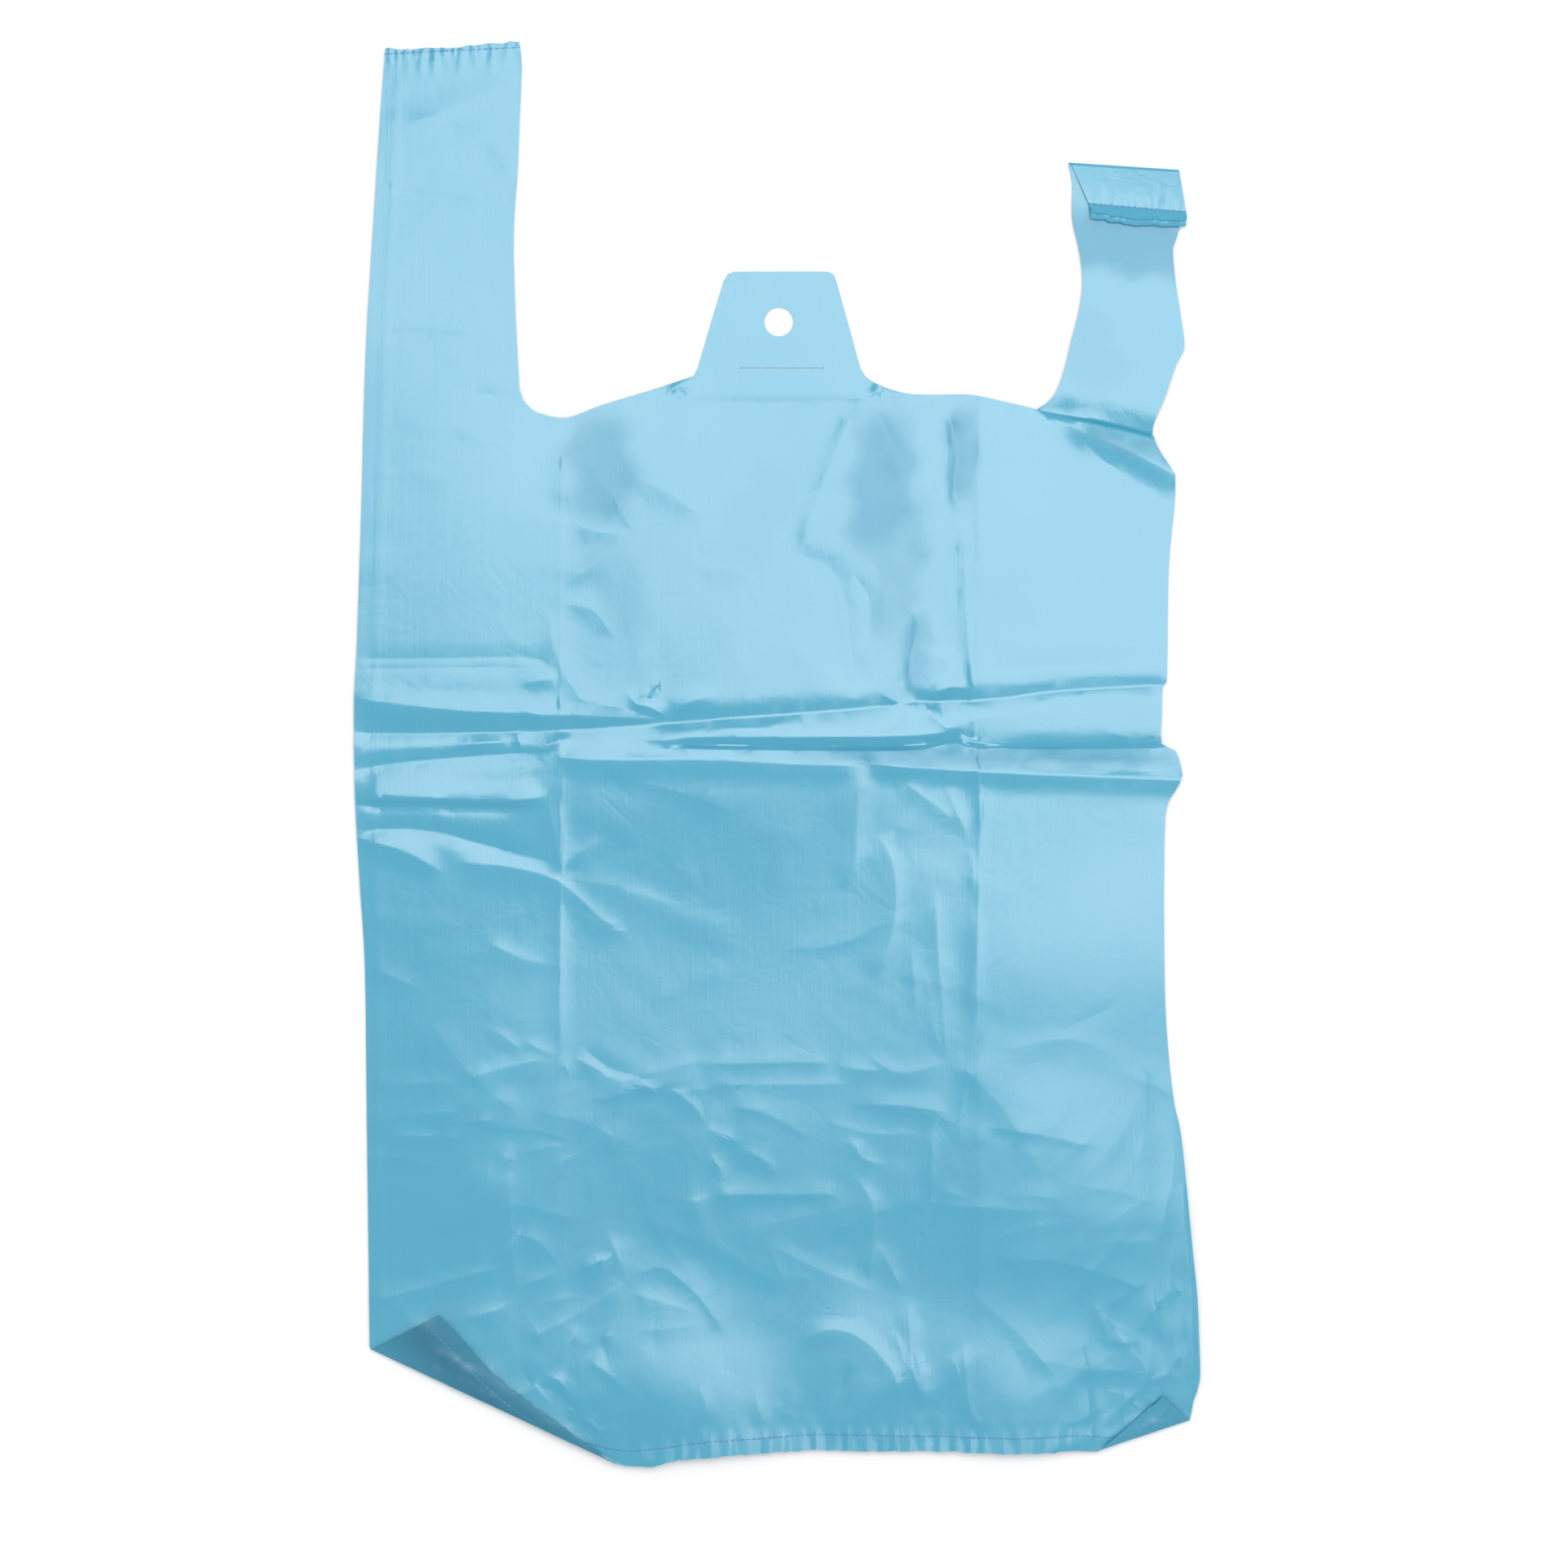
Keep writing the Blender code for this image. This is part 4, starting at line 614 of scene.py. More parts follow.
# Pressed lines: the side folds' faint track down the left edge, and the gussets' inner folds
pressedLines = {
    "left": {"line": [(-130.3, 241.7), (-132.6, 189.6), (-134.8, 144.0), (-136.5, 91.6), (-138.2, 41.2),
                      (-138.7, -0.8), (-138.5, -42.8), (-137.1, -73.6), (-137.6, -132.4),
                      (-136.5, -199.6)], "rise": 0.07},
    "right": {"line": [(142.4, -104.4), (142.9, -146.4), (143.5, -188.4), (142.9, -222.0)], "rise": 0.10},
    "leftGusset": {"line": [(-72.9, 116.3), (-74.9, 63.6), (-74.9, -20.4), (-74.3, -104.4),
                            (-88.9, -166.0)], "rise": 0.03},
    "rightGusset": {"line": [(70.1, 121.9), (69.0, 63.6), (66.8, 18.8), (70.1, -20.4), (68.7, -90.4),
                             (62.3, -132.4)], "rise": 0.13},
}
pressedWidth = 1.3

# Crumple: short random creases. Each region: box across and down, how many, length, height, reach, way in degrees
crumple = {
    "seed": 23, "waySpread": 0.6, "bow": 0.12, "near": (0.5, 1.0), "far": (1.0, 2.2), "sharp": (1.0, 1.25),
    "regions": [
        ((-133.7, 226.0), (-88.9, 125.2), 10, (10, 30), (0.04, 0.12), (2, 4), (10, 40)),
        ((104.3, 175.6), (135.1, 119.6), 10, (8, 26), (0.08, 0.22), (2, 4), (60, 60)),
        ((-140.7, 114.0), (-72.1, 35.6), 10, (14, 40), (0.04, 0.10), (3, 6), (0, 40)),
        ((-72.1, 114.0), (65.1, 21.6), 26, (12, 45), (0.04, 0.12), (3, 6), (90, 50)),
        ((28.7, 119.6), (65.1, 24.4), 14, (26, 60), (0.07, 0.14), (2, 4.5), (82, 16)),
        ((70.7, 114.0), (132.3, 27.2), 8, (14, 40), (0.04, 0.09), (3, 6), (0, 60)),
        ((-140.7, 27.2), (132.3, -6.4), 26, (8, 30), (0.06, 0.2), (1.5, 3), (0, 35)),
        ((-140.7, -9.2), (67.9, -101.6), 34, (14, 50), (0.06, 0.16), (3, 7), (-12, 45)),
        ((-136.5, -101.6), (65.1, -160.4), 44, (12, 40), (0.06, 0.18), (1.6, 5), (8, 60)),
        ((65.1, -101.6), (137.9, -177.2), 24, (12, 44), (0.06, 0.16), (3, 6), (30, 70)),
        ((-111.3, -160.4), (123.9, -236.0), 60, (8, 30), (0.06, 0.2), (1.4, 4), (50, 90)),
        ((-128.1, -104.4), (129.5, -227.6), 40, (25, 60), (0.2, 0.45), (7, 12), (70, 90)),
        ((104.3, -177.2), (143.5, -236.0), 34, (8, 26), (0.10, 0.35), (1.5, 4), (60, 60)),
        ((-139.3, -194.0), (-55.3, -241.6), 30, (6, 22), (0.10, 0.35), (1.5, 3), (-30, 80)),
    ],
}


def randomCreases():
    rng = random.Random(crumple["seed"])
    creases = []
    for (x0, y0), (x1, y1), count, lengths, heights, reaches, (way, spread) in crumple["regions"]:
        for _ in range(count):
            cx, cy = rng.uniform(x0, x1), rng.uniform(y0, y1)
            angle = math.radians(rng.gauss(way, spread * crumple["waySpread"]))
            half, bow = rng.uniform(*lengths) / 2, rng.gauss(0, crumple["bow"])
            dx, dy = half * math.cos(angle), half * math.sin(angle)
            line = [(cx - dx, cy - dy), (cx - bow * dy, cy + bow * dx), (cx + dx, cy + dy)]
            height = rng.uniform(*heights) * (half * 2 / lengths[1]) ** 0.5
            near, far = rng.uniform(*crumple["near"]) * reaches[0], rng.uniform(*crumple["far"]) * reaches[1]
            if rng.random() < 0.5:
                near, far = far, near
            creases.append((line, height, near, far, rng.uniform(*crumple["sharp"])))
    return creases


def curved(given, step):
    return [(smoothed(line, step), h, a, b, s[0] if s else creaseShape["sharp"]) for line, h, a, b, *s in given]


creases = curved(namedCreases, creaseShape["step"])
smallCreases = curved(randomCreases(), creaseShape["smallStep"])
print("creases:", len(creases), "placed,", len(smallCreases), "scattered")


def creaseRise(x, y, line, height, left, right, sharp):
    # One crease, highest midway along and running out to nothing at its ends
    pts = np.array(line)
    low, high = pts.min(0) - max(left, right), pts.max(0) + max(left, right)
    near = np.flatnonzero((x > low[0]) & (x < high[0]) & (y > low[1]) & (y < high[1]))
    px, py = x[near], y[near]
    steps = np.hypot(*np.diff(pts, axis=0).T)
    total, done = steps.sum(), 0.0
    best, side, along = np.full(len(near), np.inf), np.zeros(len(near)), np.zeros(len(near))
    for (ax, ay), (bx, by), step in zip(pts, pts[1:], steps):
        ux, uy = (bx - ax) / step, (by - ay) / step
        t = np.clip((px - ax) * ux + (py - ay) * uy, 0, step)
        d = np.hypot(px - ax - t * ux, py - ay - t * uy)
        closer = d < best
        best = np.where(closer, d, best)
        side = np.where(closer, (py - ay) * ux - (px - ax) * uy, side)
        along = np.where(closer, (done + t) / total, along)
        done += step
    end = min(creaseShape["endShare"] * total, creaseShape["endLength"])
    taper = np.clip(np.minimum(along, 1 - along) * total / end, 0, 1)
    taper = taper * taper * (3 - 2 * taper)
    least = creaseShape["endReach"]
    reach = np.where(side > 0, left, right) * (least + (1 - least) * taper)
    rise = np.zeros(len(x))
    best = np.sqrt(best**2 + film["crestRadius"] ** 2) - film["crestRadius"]
    rise[near] = height * taper * np.clip(1 - best / reach, 0, 1) ** sharp
    return rise


tabLap = {
    "line": [(-39.1, 123.3), (-16.1, 122.1), (11.9, 122.1), (32.1, 122.4)],
    "step": 0.17, "run": 0.8, "reach": 22.0, "ends": 6.0,
}


def lapRise(x, y):
    # The body's film steps up over the foot of the tab
    pts = np.array(tabLap["line"])
    below = np.interp(x, pts[:, 0], pts[:, 1]) - y
    across = np.clip(np.minimum(x - pts[0, 0], pts[-1, 0] - x) / tabLap["ends"], 0, 1)
    step = np.clip(below / tabLap["run"], 0, 1) * np.clip(1 - below / tabLap["reach"], 0, 1)
    return tabLap["step"] * across * step


def relief(x, y):
    # How high the film stands off the table, in millimetres
    height = lieHeight(x, y) + lapRise(x, y)
    ridges, valleys = np.zeros(len(x)), np.zeros(len(x))
    for line, h, a, b, s in creases:
        rise = creaseRise(x, y, line, h, a, b, s)
        ridges = np.maximum(ridges, rise)
        valleys = np.minimum(valleys, rise)
    for line, h, a, b, s in smallCreases:
        height = height + creaseRise(x, y, line, h, a, b, s)
    for pressed in pressedLines.values():
        height = height + pressed["rise"] * np.clip(1 - distanceTo(x, y, pressed["line"]) / pressedWidth, 0, 1)
    return np.maximum(height + ridges + valleys, 0)


def distanceFromFolds(x, y):
    far = np.full(len(x), np.inf)
    for fold in folds.values():
        past, _, _ = flatPast(x, y, fold)
        far = np.minimum(far, np.abs(past))
    return far


# The flat film divided into triangles that keep to every edge, weld, fold and crease
sheet = {"left": -155, "bottom": -260, "width": 310, "height": 520}
guides = {
    "gussetPast": 8, "gussetStep": 3.0, "foldPast": 4, "foldBeside": 0.5, "foldStep": 2.5, "pressedStep": 4.0,
    "lapStep": 2.5, "pleatOut": 6, "pleatIn": 3.2, "pleatStep": 2.4,
}


def flatMesh():
    points, lines, kinds = [], [], []

    def add(kind, line, closed=False):
        first = len(points)
        points.extend(line)
        count = len(line)
        for i in range(count if closed else count - 1):
            lines.append((first + i, first + (i + 1) % count))
            kinds.append(kind)

    for kind, line in edges:
        add(kind, line)
    for hole in holeRings():
        add("cut", hole, closed=True)
    for line in weld.values():
        add("weld", straight(line, welds["step"]))
    for name, (x, y) in gussetLines.items():
        add("gusset", straight([(x, sheet["bottom"]), (x, y + guides["gussetPast"])], guides["gussetStep"]))
    roll, past, beside = foldRoll() * math.pi, guides["foldPast"], guides["foldBeside"]
    for fold in folds.values():
        (ax, ay), (bx, by) = fold["line"]
        length = math.hypot(bx - ax, by - ay)
        dx, dy = (bx - ax) / length, (by - ay) / length
        for off in [-beside] + [roll * i / 4 for i in range(5)] + [roll + beside]:
            start = (ax - past * dx + dy * off, ay - past * dy - dx * off)
            end = (bx + past * dx + dy * off, by + past * dy - dx * off)
            add("roll", straight([start, end], guides["foldStep"]))
    for pressed in pressedLines.values():
        line = smoothed(pressed["line"], guides["pressedStep"])
        for off in (-pressedWidth, 0, pressedWidth):
            add("crease", [(x + off, y) for x, y in line])
    lap = np.array(tabLap["line"])
    for drop in (0, tabLap["run"]):
        add("lap", straight((lap - [0, drop]).tolist(), guides["lapStep"]))
    for line, *_ in creases + smallCreases:
        add("crease", line)
    for line, height, left, right, _ in creases + smallCreases:
        if abs(height) > film["sharpFrom"] and len(line) > 3:
            ways = np.gradient(np.array(line), axis=0)
            normals = np.column_stack([-ways[:, 1], ways[:, 0]]) / np.linalg.norm(ways, axis=1)[:, None]
            steep = [o for o in (-right, left) if abs(o) < film["footWithin"] and abs(height) >= film["footFrom"]]
            for off in [-film["shoulder"], film["shoulder"]] + steep:
                add("crease", [tuple(p) for p in (np.array(line) + off * normals)[1:-1]])
    for name, (stops, _, wide, *_) in pleatTable.items():
        for x in stops + wide:
            y = np.interp(x, *np.array(sorted(weld[name])).T)
            way = 1 if name == "hem" else -1
            if name == "hem" or abs(x) > besideX:
                ends = [(x, y - way * guides["pleatOut"]), (x, y + way * guides["pleatIn"])]
                add("pleat", straight(ends, guides["pleatStep"]))

    # Every line's own points, so that none of the film's stands too near one
    counts = [max(1, int(math.dist(points[a], points[b]) / film["lineStep"])) for a, b in lines]
    tree = kdtree.KDTree(sum(counts))
    for (a, b), count in zip(lines, counts):
        for i in range(count):
            t = (i + 0.5) / count
            tree.insert((points[a][0] * (1 - t) + points[b][0] * t, points[a][1] * (1 - t) + points[b][1] * t, 0), 0)
    tree.balance()

    rng, sway = np.random.default_rng(film["seed"]), film["spacingSway"]
    for spacing, dense in ((film["spacing"], False), (film["weldSpacing"], True)):
        row = spacing * math.sqrt(0.75)
        j, i = np.meshgrid(np.arange(int(sheet["height"] / row)), np.arange(int(sheet["width"] / spacing)))
        gx = (sheet["left"] + (i + 0.5 * (j % 2)) * spacing).ravel() + rng.uniform(-sway, sway, i.size) * spacing
        gy = (sheet["bottom"] + j * row).ravel() + rng.uniform(-sway, sway, i.size) * spacing
        close = (np.abs(beyondWeld(gx, gy)) < film["denseByWeld"]) | (distanceFromFolds(gx, gy) < film["denseByFold"])
        keep = inside(gx, gy, ring) & (close == dense)
        for x, y in zip(gx[keep], gy[keep]):
            if tree.find((x, y, 0))[2] > film["clearOfLines"] * spacing:
                points.append((float(x), float(y)))

    vectors = [Vector(p) for p in points]
    flat, flatEdges, faces, _, sources, _ = geometry.delaunay_2d_cdt(vectors, lines, [], 0, 1e-4)
    flat = np.array([(p.x, p.y) for p in flat])
    kindOf = {tuple(sorted(e)): {kinds[k] for k in source} for e, source in zip(flatEdges, sources) if source}
    tri = np.array([tuple(f) for f in faces])
    centres = flat[tri].mean(axis=1)
    keep = inside(centres[:, 0], centres[:, 1], ring)
    for hole in holeRings():
        keep &= ~inside(centres[:, 0], centres[:, 1], hole)
    return flat, tri[keep], centres[keep], kindOf


flat, triangles, centres, kindOf = flatMesh()
print("flat film:", len(triangles), "triangles")
gussetLeft, gussetRight = gussetLines["left"][0], gussetLines["right"][0]
isWelded = beyondWeld(centres[:, 0], centres[:, 1]) < 0
isGusset = (centres[:, 0] < gussetLeft) | (centres[:, 0] > gussetRight)

neighbours = {}
for index, face in enumerate(triangles.tolist()):
    for a, b in zip(face, face[1:] + face[:1]):
        neighbours.setdefault((a, b) if a < b else (b, a), []).append((index, a, b))


# Levels run from 0 on the back panel's outside to 7 on the front panel's. Each skin holds four of them, and
# film lies between the pairs that the pattern names.
skins = {
    "back_film": {"levels": (0, 1, 2, 3), "gusset": (1, 0, 1), "middle": (1, 0, 0), "turn": (1, 2)},
    "front_film": {"levels": (4, 5, 6, 7), "gusset": (1, 0, 1), "middle": (0, 0, 1), "turn": (5, 6)},
}


def levelHeight(level, x, y):
    far = np.clip(beyondWeld(x, y) / film["gapOpensOver"], 0, 1)
    gap = film["weldedGap"] + (film["gap"] - film["weldedGap"]) * far
    height = ((level + 1) // 2) * film["thickness"] + (level // 2) * gap
    if level >= 6:
        middle = np.clip(np.minimum(x - gussetLeft, gussetRight - x) / film["frontSinksOver"], 0, 1)
        height = height - middle * film["frontSinks"] * (film["thickness"] + gap)
    return height


def fanned(level, x, y, z):
    # The films of the turned handle tip end one behind the other
    past = np.clip(-beyondWeld(x, y) / welds["handleSkirt"], 0, 1) * ((x > besideX) & (y > aboveY))
    return z - welds["fanLift"] * (3 - level // 2) * past, y + welds["fan"] * (level // 2) * past


def settle(x, y, z):
    # From the flat stack to the bag as it lies
    x, y, z = foldOver(x, y, z + pleatRise(x, y))
    return x, y, z + relief(x, y)


# Painted shade on the turned up corners: how far it spreads and where it is darkest
turnedShadeLook = {"over": 2, "least": 0.2, "most": 0.8, "darkestAt": 4, "fade": 26}


def turnedShade(x, y):
    # Turned up corners get painted shade, darkest next to the hem; partly it is the deeper colour of their own layers
    # seen through
    t = turnedShadeLook
    shade = sum(fold["shade"] * np.clip(flatPast(x, y, fold)[0] / t["over"], 0, 1) for fold in folds.values())
    near = np.clip(1 - np.abs(beyondWeld(x, y) - t["darkestAt"]) / t["fade"], 0, 1)
    return shade * (t["least"] + t["most"] * near)


# Patches of painted shade: there the colour is painted deeper, standing in for the duller sheen seen there, and the
# surface is rougher. Each patch: centre, half length and half width, turn in degrees, amount
dullShadePatchEdge = {"wave": 0.12, "waveRate": 0.35, "power": 3, "outer": 1.15, "soft": 0.5}
dullShadePatches = [
    (-60.6, 97.2, 21, 13, 95, 0.8), (36.0, 92.2, 27, 12, 84, 0.9), (64.0, 102.8, 18, 6, 88, 0.9),
    (48.3, 35.6, 15, 5, 88, 0.7),
    (72.1, -1.6, 70, 3.6, -1, 1.0), (119.7, 175.6, 27, 12, -10, 1.0), (107.1, 139.2, 20, 12, -60, 0.3),
    (121.7, 106.2, 18, 3.6, -20, 0.8), (-7.7, 80.4, 26, 12, 60, 0.25), (42.7, 63.6, 30, 9, 80, 0.5),
    (-55.3, 58.0, 22, 10, 110, 0.4),
]


def dullShadeAt(x, y):
    most, power = np.zeros(len(x)), dullShadePatchEdge["power"]
    for cx, cy, long, wide, turn, amount in dullShadePatches:
        c, s = math.cos(math.radians(turn)), math.sin(math.radians(turn))
        u, v = (x - cx) * c + (y - cy) * s, (y - cy) * c - (x - cx) * s
        v = v + dullShadePatchEdge["wave"] * wide * np.sin(u * dullShadePatchEdge["waveRate"] + cx)
        far = (np.abs(u / long) ** power + np.abs(v / wide) ** power) ** (1 / power)
        most = np.maximum(most, amount * np.clip((dullShadePatchEdge["outer"] - far) / dullShadePatchEdge["soft"], 0, 1))
    return most * most * (3 - 2 * most)


worn = {"top": -55, "over": 45, "side": 55, "sideOver": 30, "least": 0.6, "most": 0.4}


def wornAt(x, y):
    # Crumpled film is duller: the lower half, and most of all its right side
    low = np.clip((worn["top"] - y) / worn["over"], 0, 1)
    side = np.clip((x - worn["side"]) / worn["sideOver"], 0, 1)
    return low * low * (3 - 2 * low) * (worn["least"] + worn["most"] * side)


def filmSkin(name, spec):
    levels = spec["levels"]
    patterns = [(1, 1, 1) if w else spec["gusset"] if g else spec["middle"] for w, g in zip(isWelded, isGusset)]
    turned = set()
    for edge, cells in neighbours.items():
        if "side" in kindOf.get(edge, ()) and all(patterns[c[0]] == spec["gusset"] for c in cells):
            turned.update(edge)
    sideEdges = {e for e in neighbours if "side" in kindOf.get(e, ()) and e[0] in turned and e[1] in turned
                 and len(neighbours[e]) == 1}
    rims = {}
    for face, pattern in zip(triangles.tolist(), patterns):
        ends = {k for k in range(4) if (pattern[k - 1] if k else 0) != (pattern[k] if k < 3 else 0)}
        for v in face:
            rims.setdefault(v, set()).update(ends)
    for v in turned:
        rims[v] = {0, 1, 3}
    used, polygons = {}, []

    def corner(v, k):
        if v in turned and k == 2:
            k = 1
        return used.setdefault((v, k), len(used))

    for face, pattern in zip(triangles.tolist(), patterns):
        for k in range(4):
            below, above = (pattern[k - 1] if k else 0), (pattern[k] if k < 3 else 0)
            if below != above:
                around = [corner(v, k) for v in face]
                polygons.append(around if below else around[::-1])
    for edge, cells in neighbours.items():
        for own, (index, a, b) in enumerate(cells):
            here = patterns[index]
            there = patterns[cells[1 - own][0]] if len(cells) == 2 else (0, 0, 0)
            if here == there:
                continue
            shut = edge in sideEdges
            k = 0
            while k < 3:
                if not ((here[k] or (shut and k == 1)) and not there[k]):
                    k += 1
                    continue
                top = k
                while top < 3 and (here[top] or (shut and top == 1)) and not there[top]:
                    top += 1
                up = [corner(b, i) for i in range(k, top + 1) if i in (k, top) or i in rims[b]]
                down = [corner(a, i) for i in range(top, k - 1, -1) if i in (k, top) or i in rims[a]]
                around = up + down
                around = [c for c, before in zip(around, around[-1:] + around[:-1]) if c != before]
                if len(around) > 2:
                    polygons.append(around)
                k = top

    keys = np.array(list(used))
    px, py = flat[keys[:, 0]].T
    pz, slid = np.zeros(len(px)), py.copy()
    inTurn = np.array([v in turned for v in keys[:, 0]]) & (keys[:, 1] == 1)
    for k, level in enumerate(levels):
        own = keys[:, 1] == k
        pz[own] = levelHeight(level, px[own], py[own])
        pz[own], slid[own] = fanned(level, px[own], py[own], pz[own])
    pz[inTurn] = (pz[inTurn] + levelHeight(levels[2], px[inTurn], py[inTurn])) / 2
    shift = np.where(inTurn, -np.sign(px) * film["thickness"], 0)
    fx, fy, fz = settle(px + shift, slid, pz)
    mesh = bpy.data.meshes.new(name)
    mesh.from_pydata((np.column_stack([fx, fy, fz]) * mm).tolist(), [], polygons)
    mesh.shade_smooth()
    mesh.set_sharp_from_angle(angle=math.radians(film["sharpAngle"]))
    marks = {
        "weld": np.abs(beyondWeld(px, py)),
        # painted shade of the turned up corners
        "turned": turnedShade(px, py),
        # painted shade of the patches, which also makes them rougher
        "dullShade": dullShadeAt(px, py),
        "worn": wornAt(px, py),
        "gusset": np.clip(np.maximum(gussetLeft - px, px - gussetRight) / 2, 0, 1),
    }
    for mark, values in marks.items():
        mesh.attributes.new(mark, "FLOAT", "POINT").data.foreach_set("value", values.astype(np.float32))
    piece = bpy.data.objects.new(name, mesh)
    bpy.context.scene.collection.objects.link(piece)
    print(name, len(polygons), "faces, lowest", round(float(fz.min()), 3), "highest", round(float(fz.max()), 2))
    return piece


# Material of the film

filmLook = {
    "colour": (0.052, 0.345, 0.508, 1), "gussetColour": (0.055, 0.354, 0.518, 1), "gussetShare": 0.8,
    "weldColour": (0.05, 0.20, 0.45, 1), "weldWidth": 0.32, "weldShare": 0.75,
    # The turned colour and the patch colour on the next line are painted shade, deeper than the film's own colour
    "turnedShadeColour": (0.0, 0.150, 0.250, 1), "patchShadeColour": (0.024, 0.290, 0.450, 1),
    "roughness": 0.22, "roughnessSway": (-0.03, 0.05), "mottle": (0.3, 0.7),
    "clingRoughness": 0.14, "wornRoughness": 0.12, "specular": 0.8, "ior": 1.54,
    "streaks": 0.10, "wrinkles": 0.6, "bump": 0.5, "bumpDepth": 0.0006,
}
grainLook = {
    "stretch": (1, 0.03, 1),
    "noises": {
        "streak": {"Scale": 900, "Detail": 3},
        "wrinkle": {"Scale": 55, "Detail": 5, "Distortion": 0.6},
        "mottle": {"Scale": 14, "Detail": 4},
    },
}


def addNode(tree, kind, place, **values):
    node = tree.nodes.new(kind)
    node.location = place
    for key, value in values.items():
        setattr(node, key, value)
    return node


def feed(tree, socket, value):
    # A socket takes another node's output or a value of its own
    if isinstance(value, bpy.types.NodeSocket):
        tree.links.new(value, socket)
    elif value is not None:
        socket.default_value = value


def math2(tree, operation, place, a, b=None, clamp=False):
    node = addNode(tree, "ShaderNodeMath", place, operation=operation, use_clamp=clamp)
    for socket, value in zip(node.inputs, (a, b)):
        feed(tree, socket, value)
    return node.outputs[0]


def mixed(tree, place, a, b, share):
    node = addNode(tree, "ShaderNodeMix", place, data_type="RGBA")
    for name, value in (("A", a), ("B", b), ("Factor", share)):
        feed(tree, node.inputs[name], value)
    return node.outputs["Result"]


def filmGrainGroup():
    # Streaks along the film from its blowing, and fine wrinkles: one height and one mottling
    group = bpy.data.node_groups.new("filmGrain", "ShaderNodeTree")
    for name, way in (("Streaks", "INPUT"), ("Wrinkles", "INPUT"), ("Height", "OUTPUT"), ("Mottle", "OUTPUT")):
        group.interface.new_socket(name, in_out=way, socket_type="NodeSocketFloat")
    given, result = addNode(group, "NodeGroupInput", (-1100, 0)), addNode(group, "NodeGroupOutput", (500, 0))
    place = addNode(group, "ShaderNodeTexCoord", (-1100, 300)).outputs["Object"]
    stretch = addNode(group, "ShaderNodeMapping", (-900, 300))
    feed(group, stretch.inputs["Scale"], grainLook["stretch"])
    feed(group, stretch.inputs["Vector"], place)
    noises = {}
    for row, (name, values) in enumerate(grainLook["noises"].items()):
        node = addNode(group, "ShaderNodeTexNoise", (-700, 300 - 300 * row))
        for socket, value in values.items():
            feed(group, node.inputs[socket], value)
        feed(group, node.inputs["Vector"], stretch.outputs[0] if name == "streak" else place)
        noises[name] = node.outputs[0]
    fold = math2(group, "ABSOLUTE", (-450, 0), math2(group, "SUBTRACT", (-520, 0), noises["wrinkle"], 0.5))
    rough = math2(group, "MULTIPLY", (-250, 0), fold, given.outputs["Wrinkles"])
    fine = math2(group, "MULTIPLY", (-250, 300), noises["streak"], given.outputs["Streaks"])
    feed(group, result.inputs["Height"], math2(group, "ADD", (0, 150), rough, fine))
    feed(group, result.inputs["Mottle"], noises["mottle"])
    return group


def newMaterial(name):
    material = bpy.data.materials.new(name)
    material.use_nodes = True
    return material, material.node_tree, material.node_tree.nodes["Principled BSDF"]


def filmMaterial(name, grain):
    look = filmLook
    material, tree, shader = newMaterial(name)
    marks = {mark: addNode(tree, "ShaderNodeAttribute", (-900, 750 - 150 * row), attribute_name=mark).outputs["Fac"]
             for row, mark in enumerate(("turned", "weld", "gusset", "dullShade", "worn"))}
    wear = addNode(tree, "ShaderNodeGroup", (-900, -50), node_tree=grain)
    feed(tree, wear.inputs["Streaks"], look["streaks"])
    feed(tree, wear.inputs["Wrinkles"], look["wrinkles"])

    gusset = math2(tree, "MULTIPLY", (-700, 450), marks["gusset"], look["gussetShare"])
    fromWeld = math2(tree, "DIVIDE", (-800, 600), marks["weld"], look["weldWidth"])
    near = math2(tree, "SUBTRACT", (-700, 600), 1.0, fromWeld, True)
    seam = math2(tree, "MULTIPLY", (-500, 600), near, look["weldShare"])
    colour = mixed(tree, (-500, 300), look["colour"], look["gussetColour"], gusset)
    # Painted shade in the patches, deeper than the film's own colour
    colour = mixed(tree, (-420, 300), colour, look["patchShadeColour"], marks["dullShade"])
    # Painted shade on the turned up corners
    colour = mixed(tree, (-340, 300), colour, look["turnedShadeColour"], marks["turned"])
    feed(tree, shader.inputs["Base Color"], mixed(tree, (-260, 300), colour, look["weldColour"], seam))

    rough = addNode(tree, "ShaderNodeMapRange", (-500, 0))
    smoothest, roughest = (look["roughness"] + sway for sway in look["roughnessSway"])
    for socket, value in zip(("From Min", "From Max", "To Min", "To Max"), (*look["mottle"], smoothest, roughest)):
        feed(tree, rough.inputs[socket], value)
    feed(tree, rough.inputs["Value"], wear.outputs["Mottle"])
    wornBy = math2(tree, "MULTIPLY", (-500, 120), marks["worn"], look["wornRoughness"])
    dulled = math2(tree, "MULTIPLY", (-500, 60), marks["dullShade"], look["clingRoughness"])
    wornRough = math2(tree, "ADD", (-300, 60), rough.outputs[0], wornBy)
    feed(tree, shader.inputs["Roughness"], math2(tree, "ADD", (-150, 60), wornRough, dulled))

    bump = addNode(tree, "ShaderNodeBump", (-250, -250))
    bumpBy = {"Strength": look["bump"], "Distance": look["bumpDepth"], "Height": wear.outputs["Height"]}
    for socket, value in bumpBy.items():
        feed(tree, bump.inputs[socket], value)
    feed(tree, shader.inputs["Normal"], bump.outputs[0])
    shader.inputs["IOR"].default_value = look["ior"]
    shader.inputs["Specular IOR Level"].default_value = look["specular"]
    return material


grain = filmGrainGroup()
blueFilm = filmMaterial("blueFilm", grain)
for name, spec in skins.items():
    piece = filmSkin(name, spec)
    piece.data.materials.append(blueFilm)
    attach(piece, "root")
    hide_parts("carrier_bag")


# Beads of melted film along the welds

beads = {
    "spacing": 1.9, "length": 1.15, "width": 0.42, "height": 0.16, "vary": 0.35, "seed": 5,
    "lift": 0.02, "turnedFrom": 4, "roughness": 0.3, "mottle": 0.6,
}


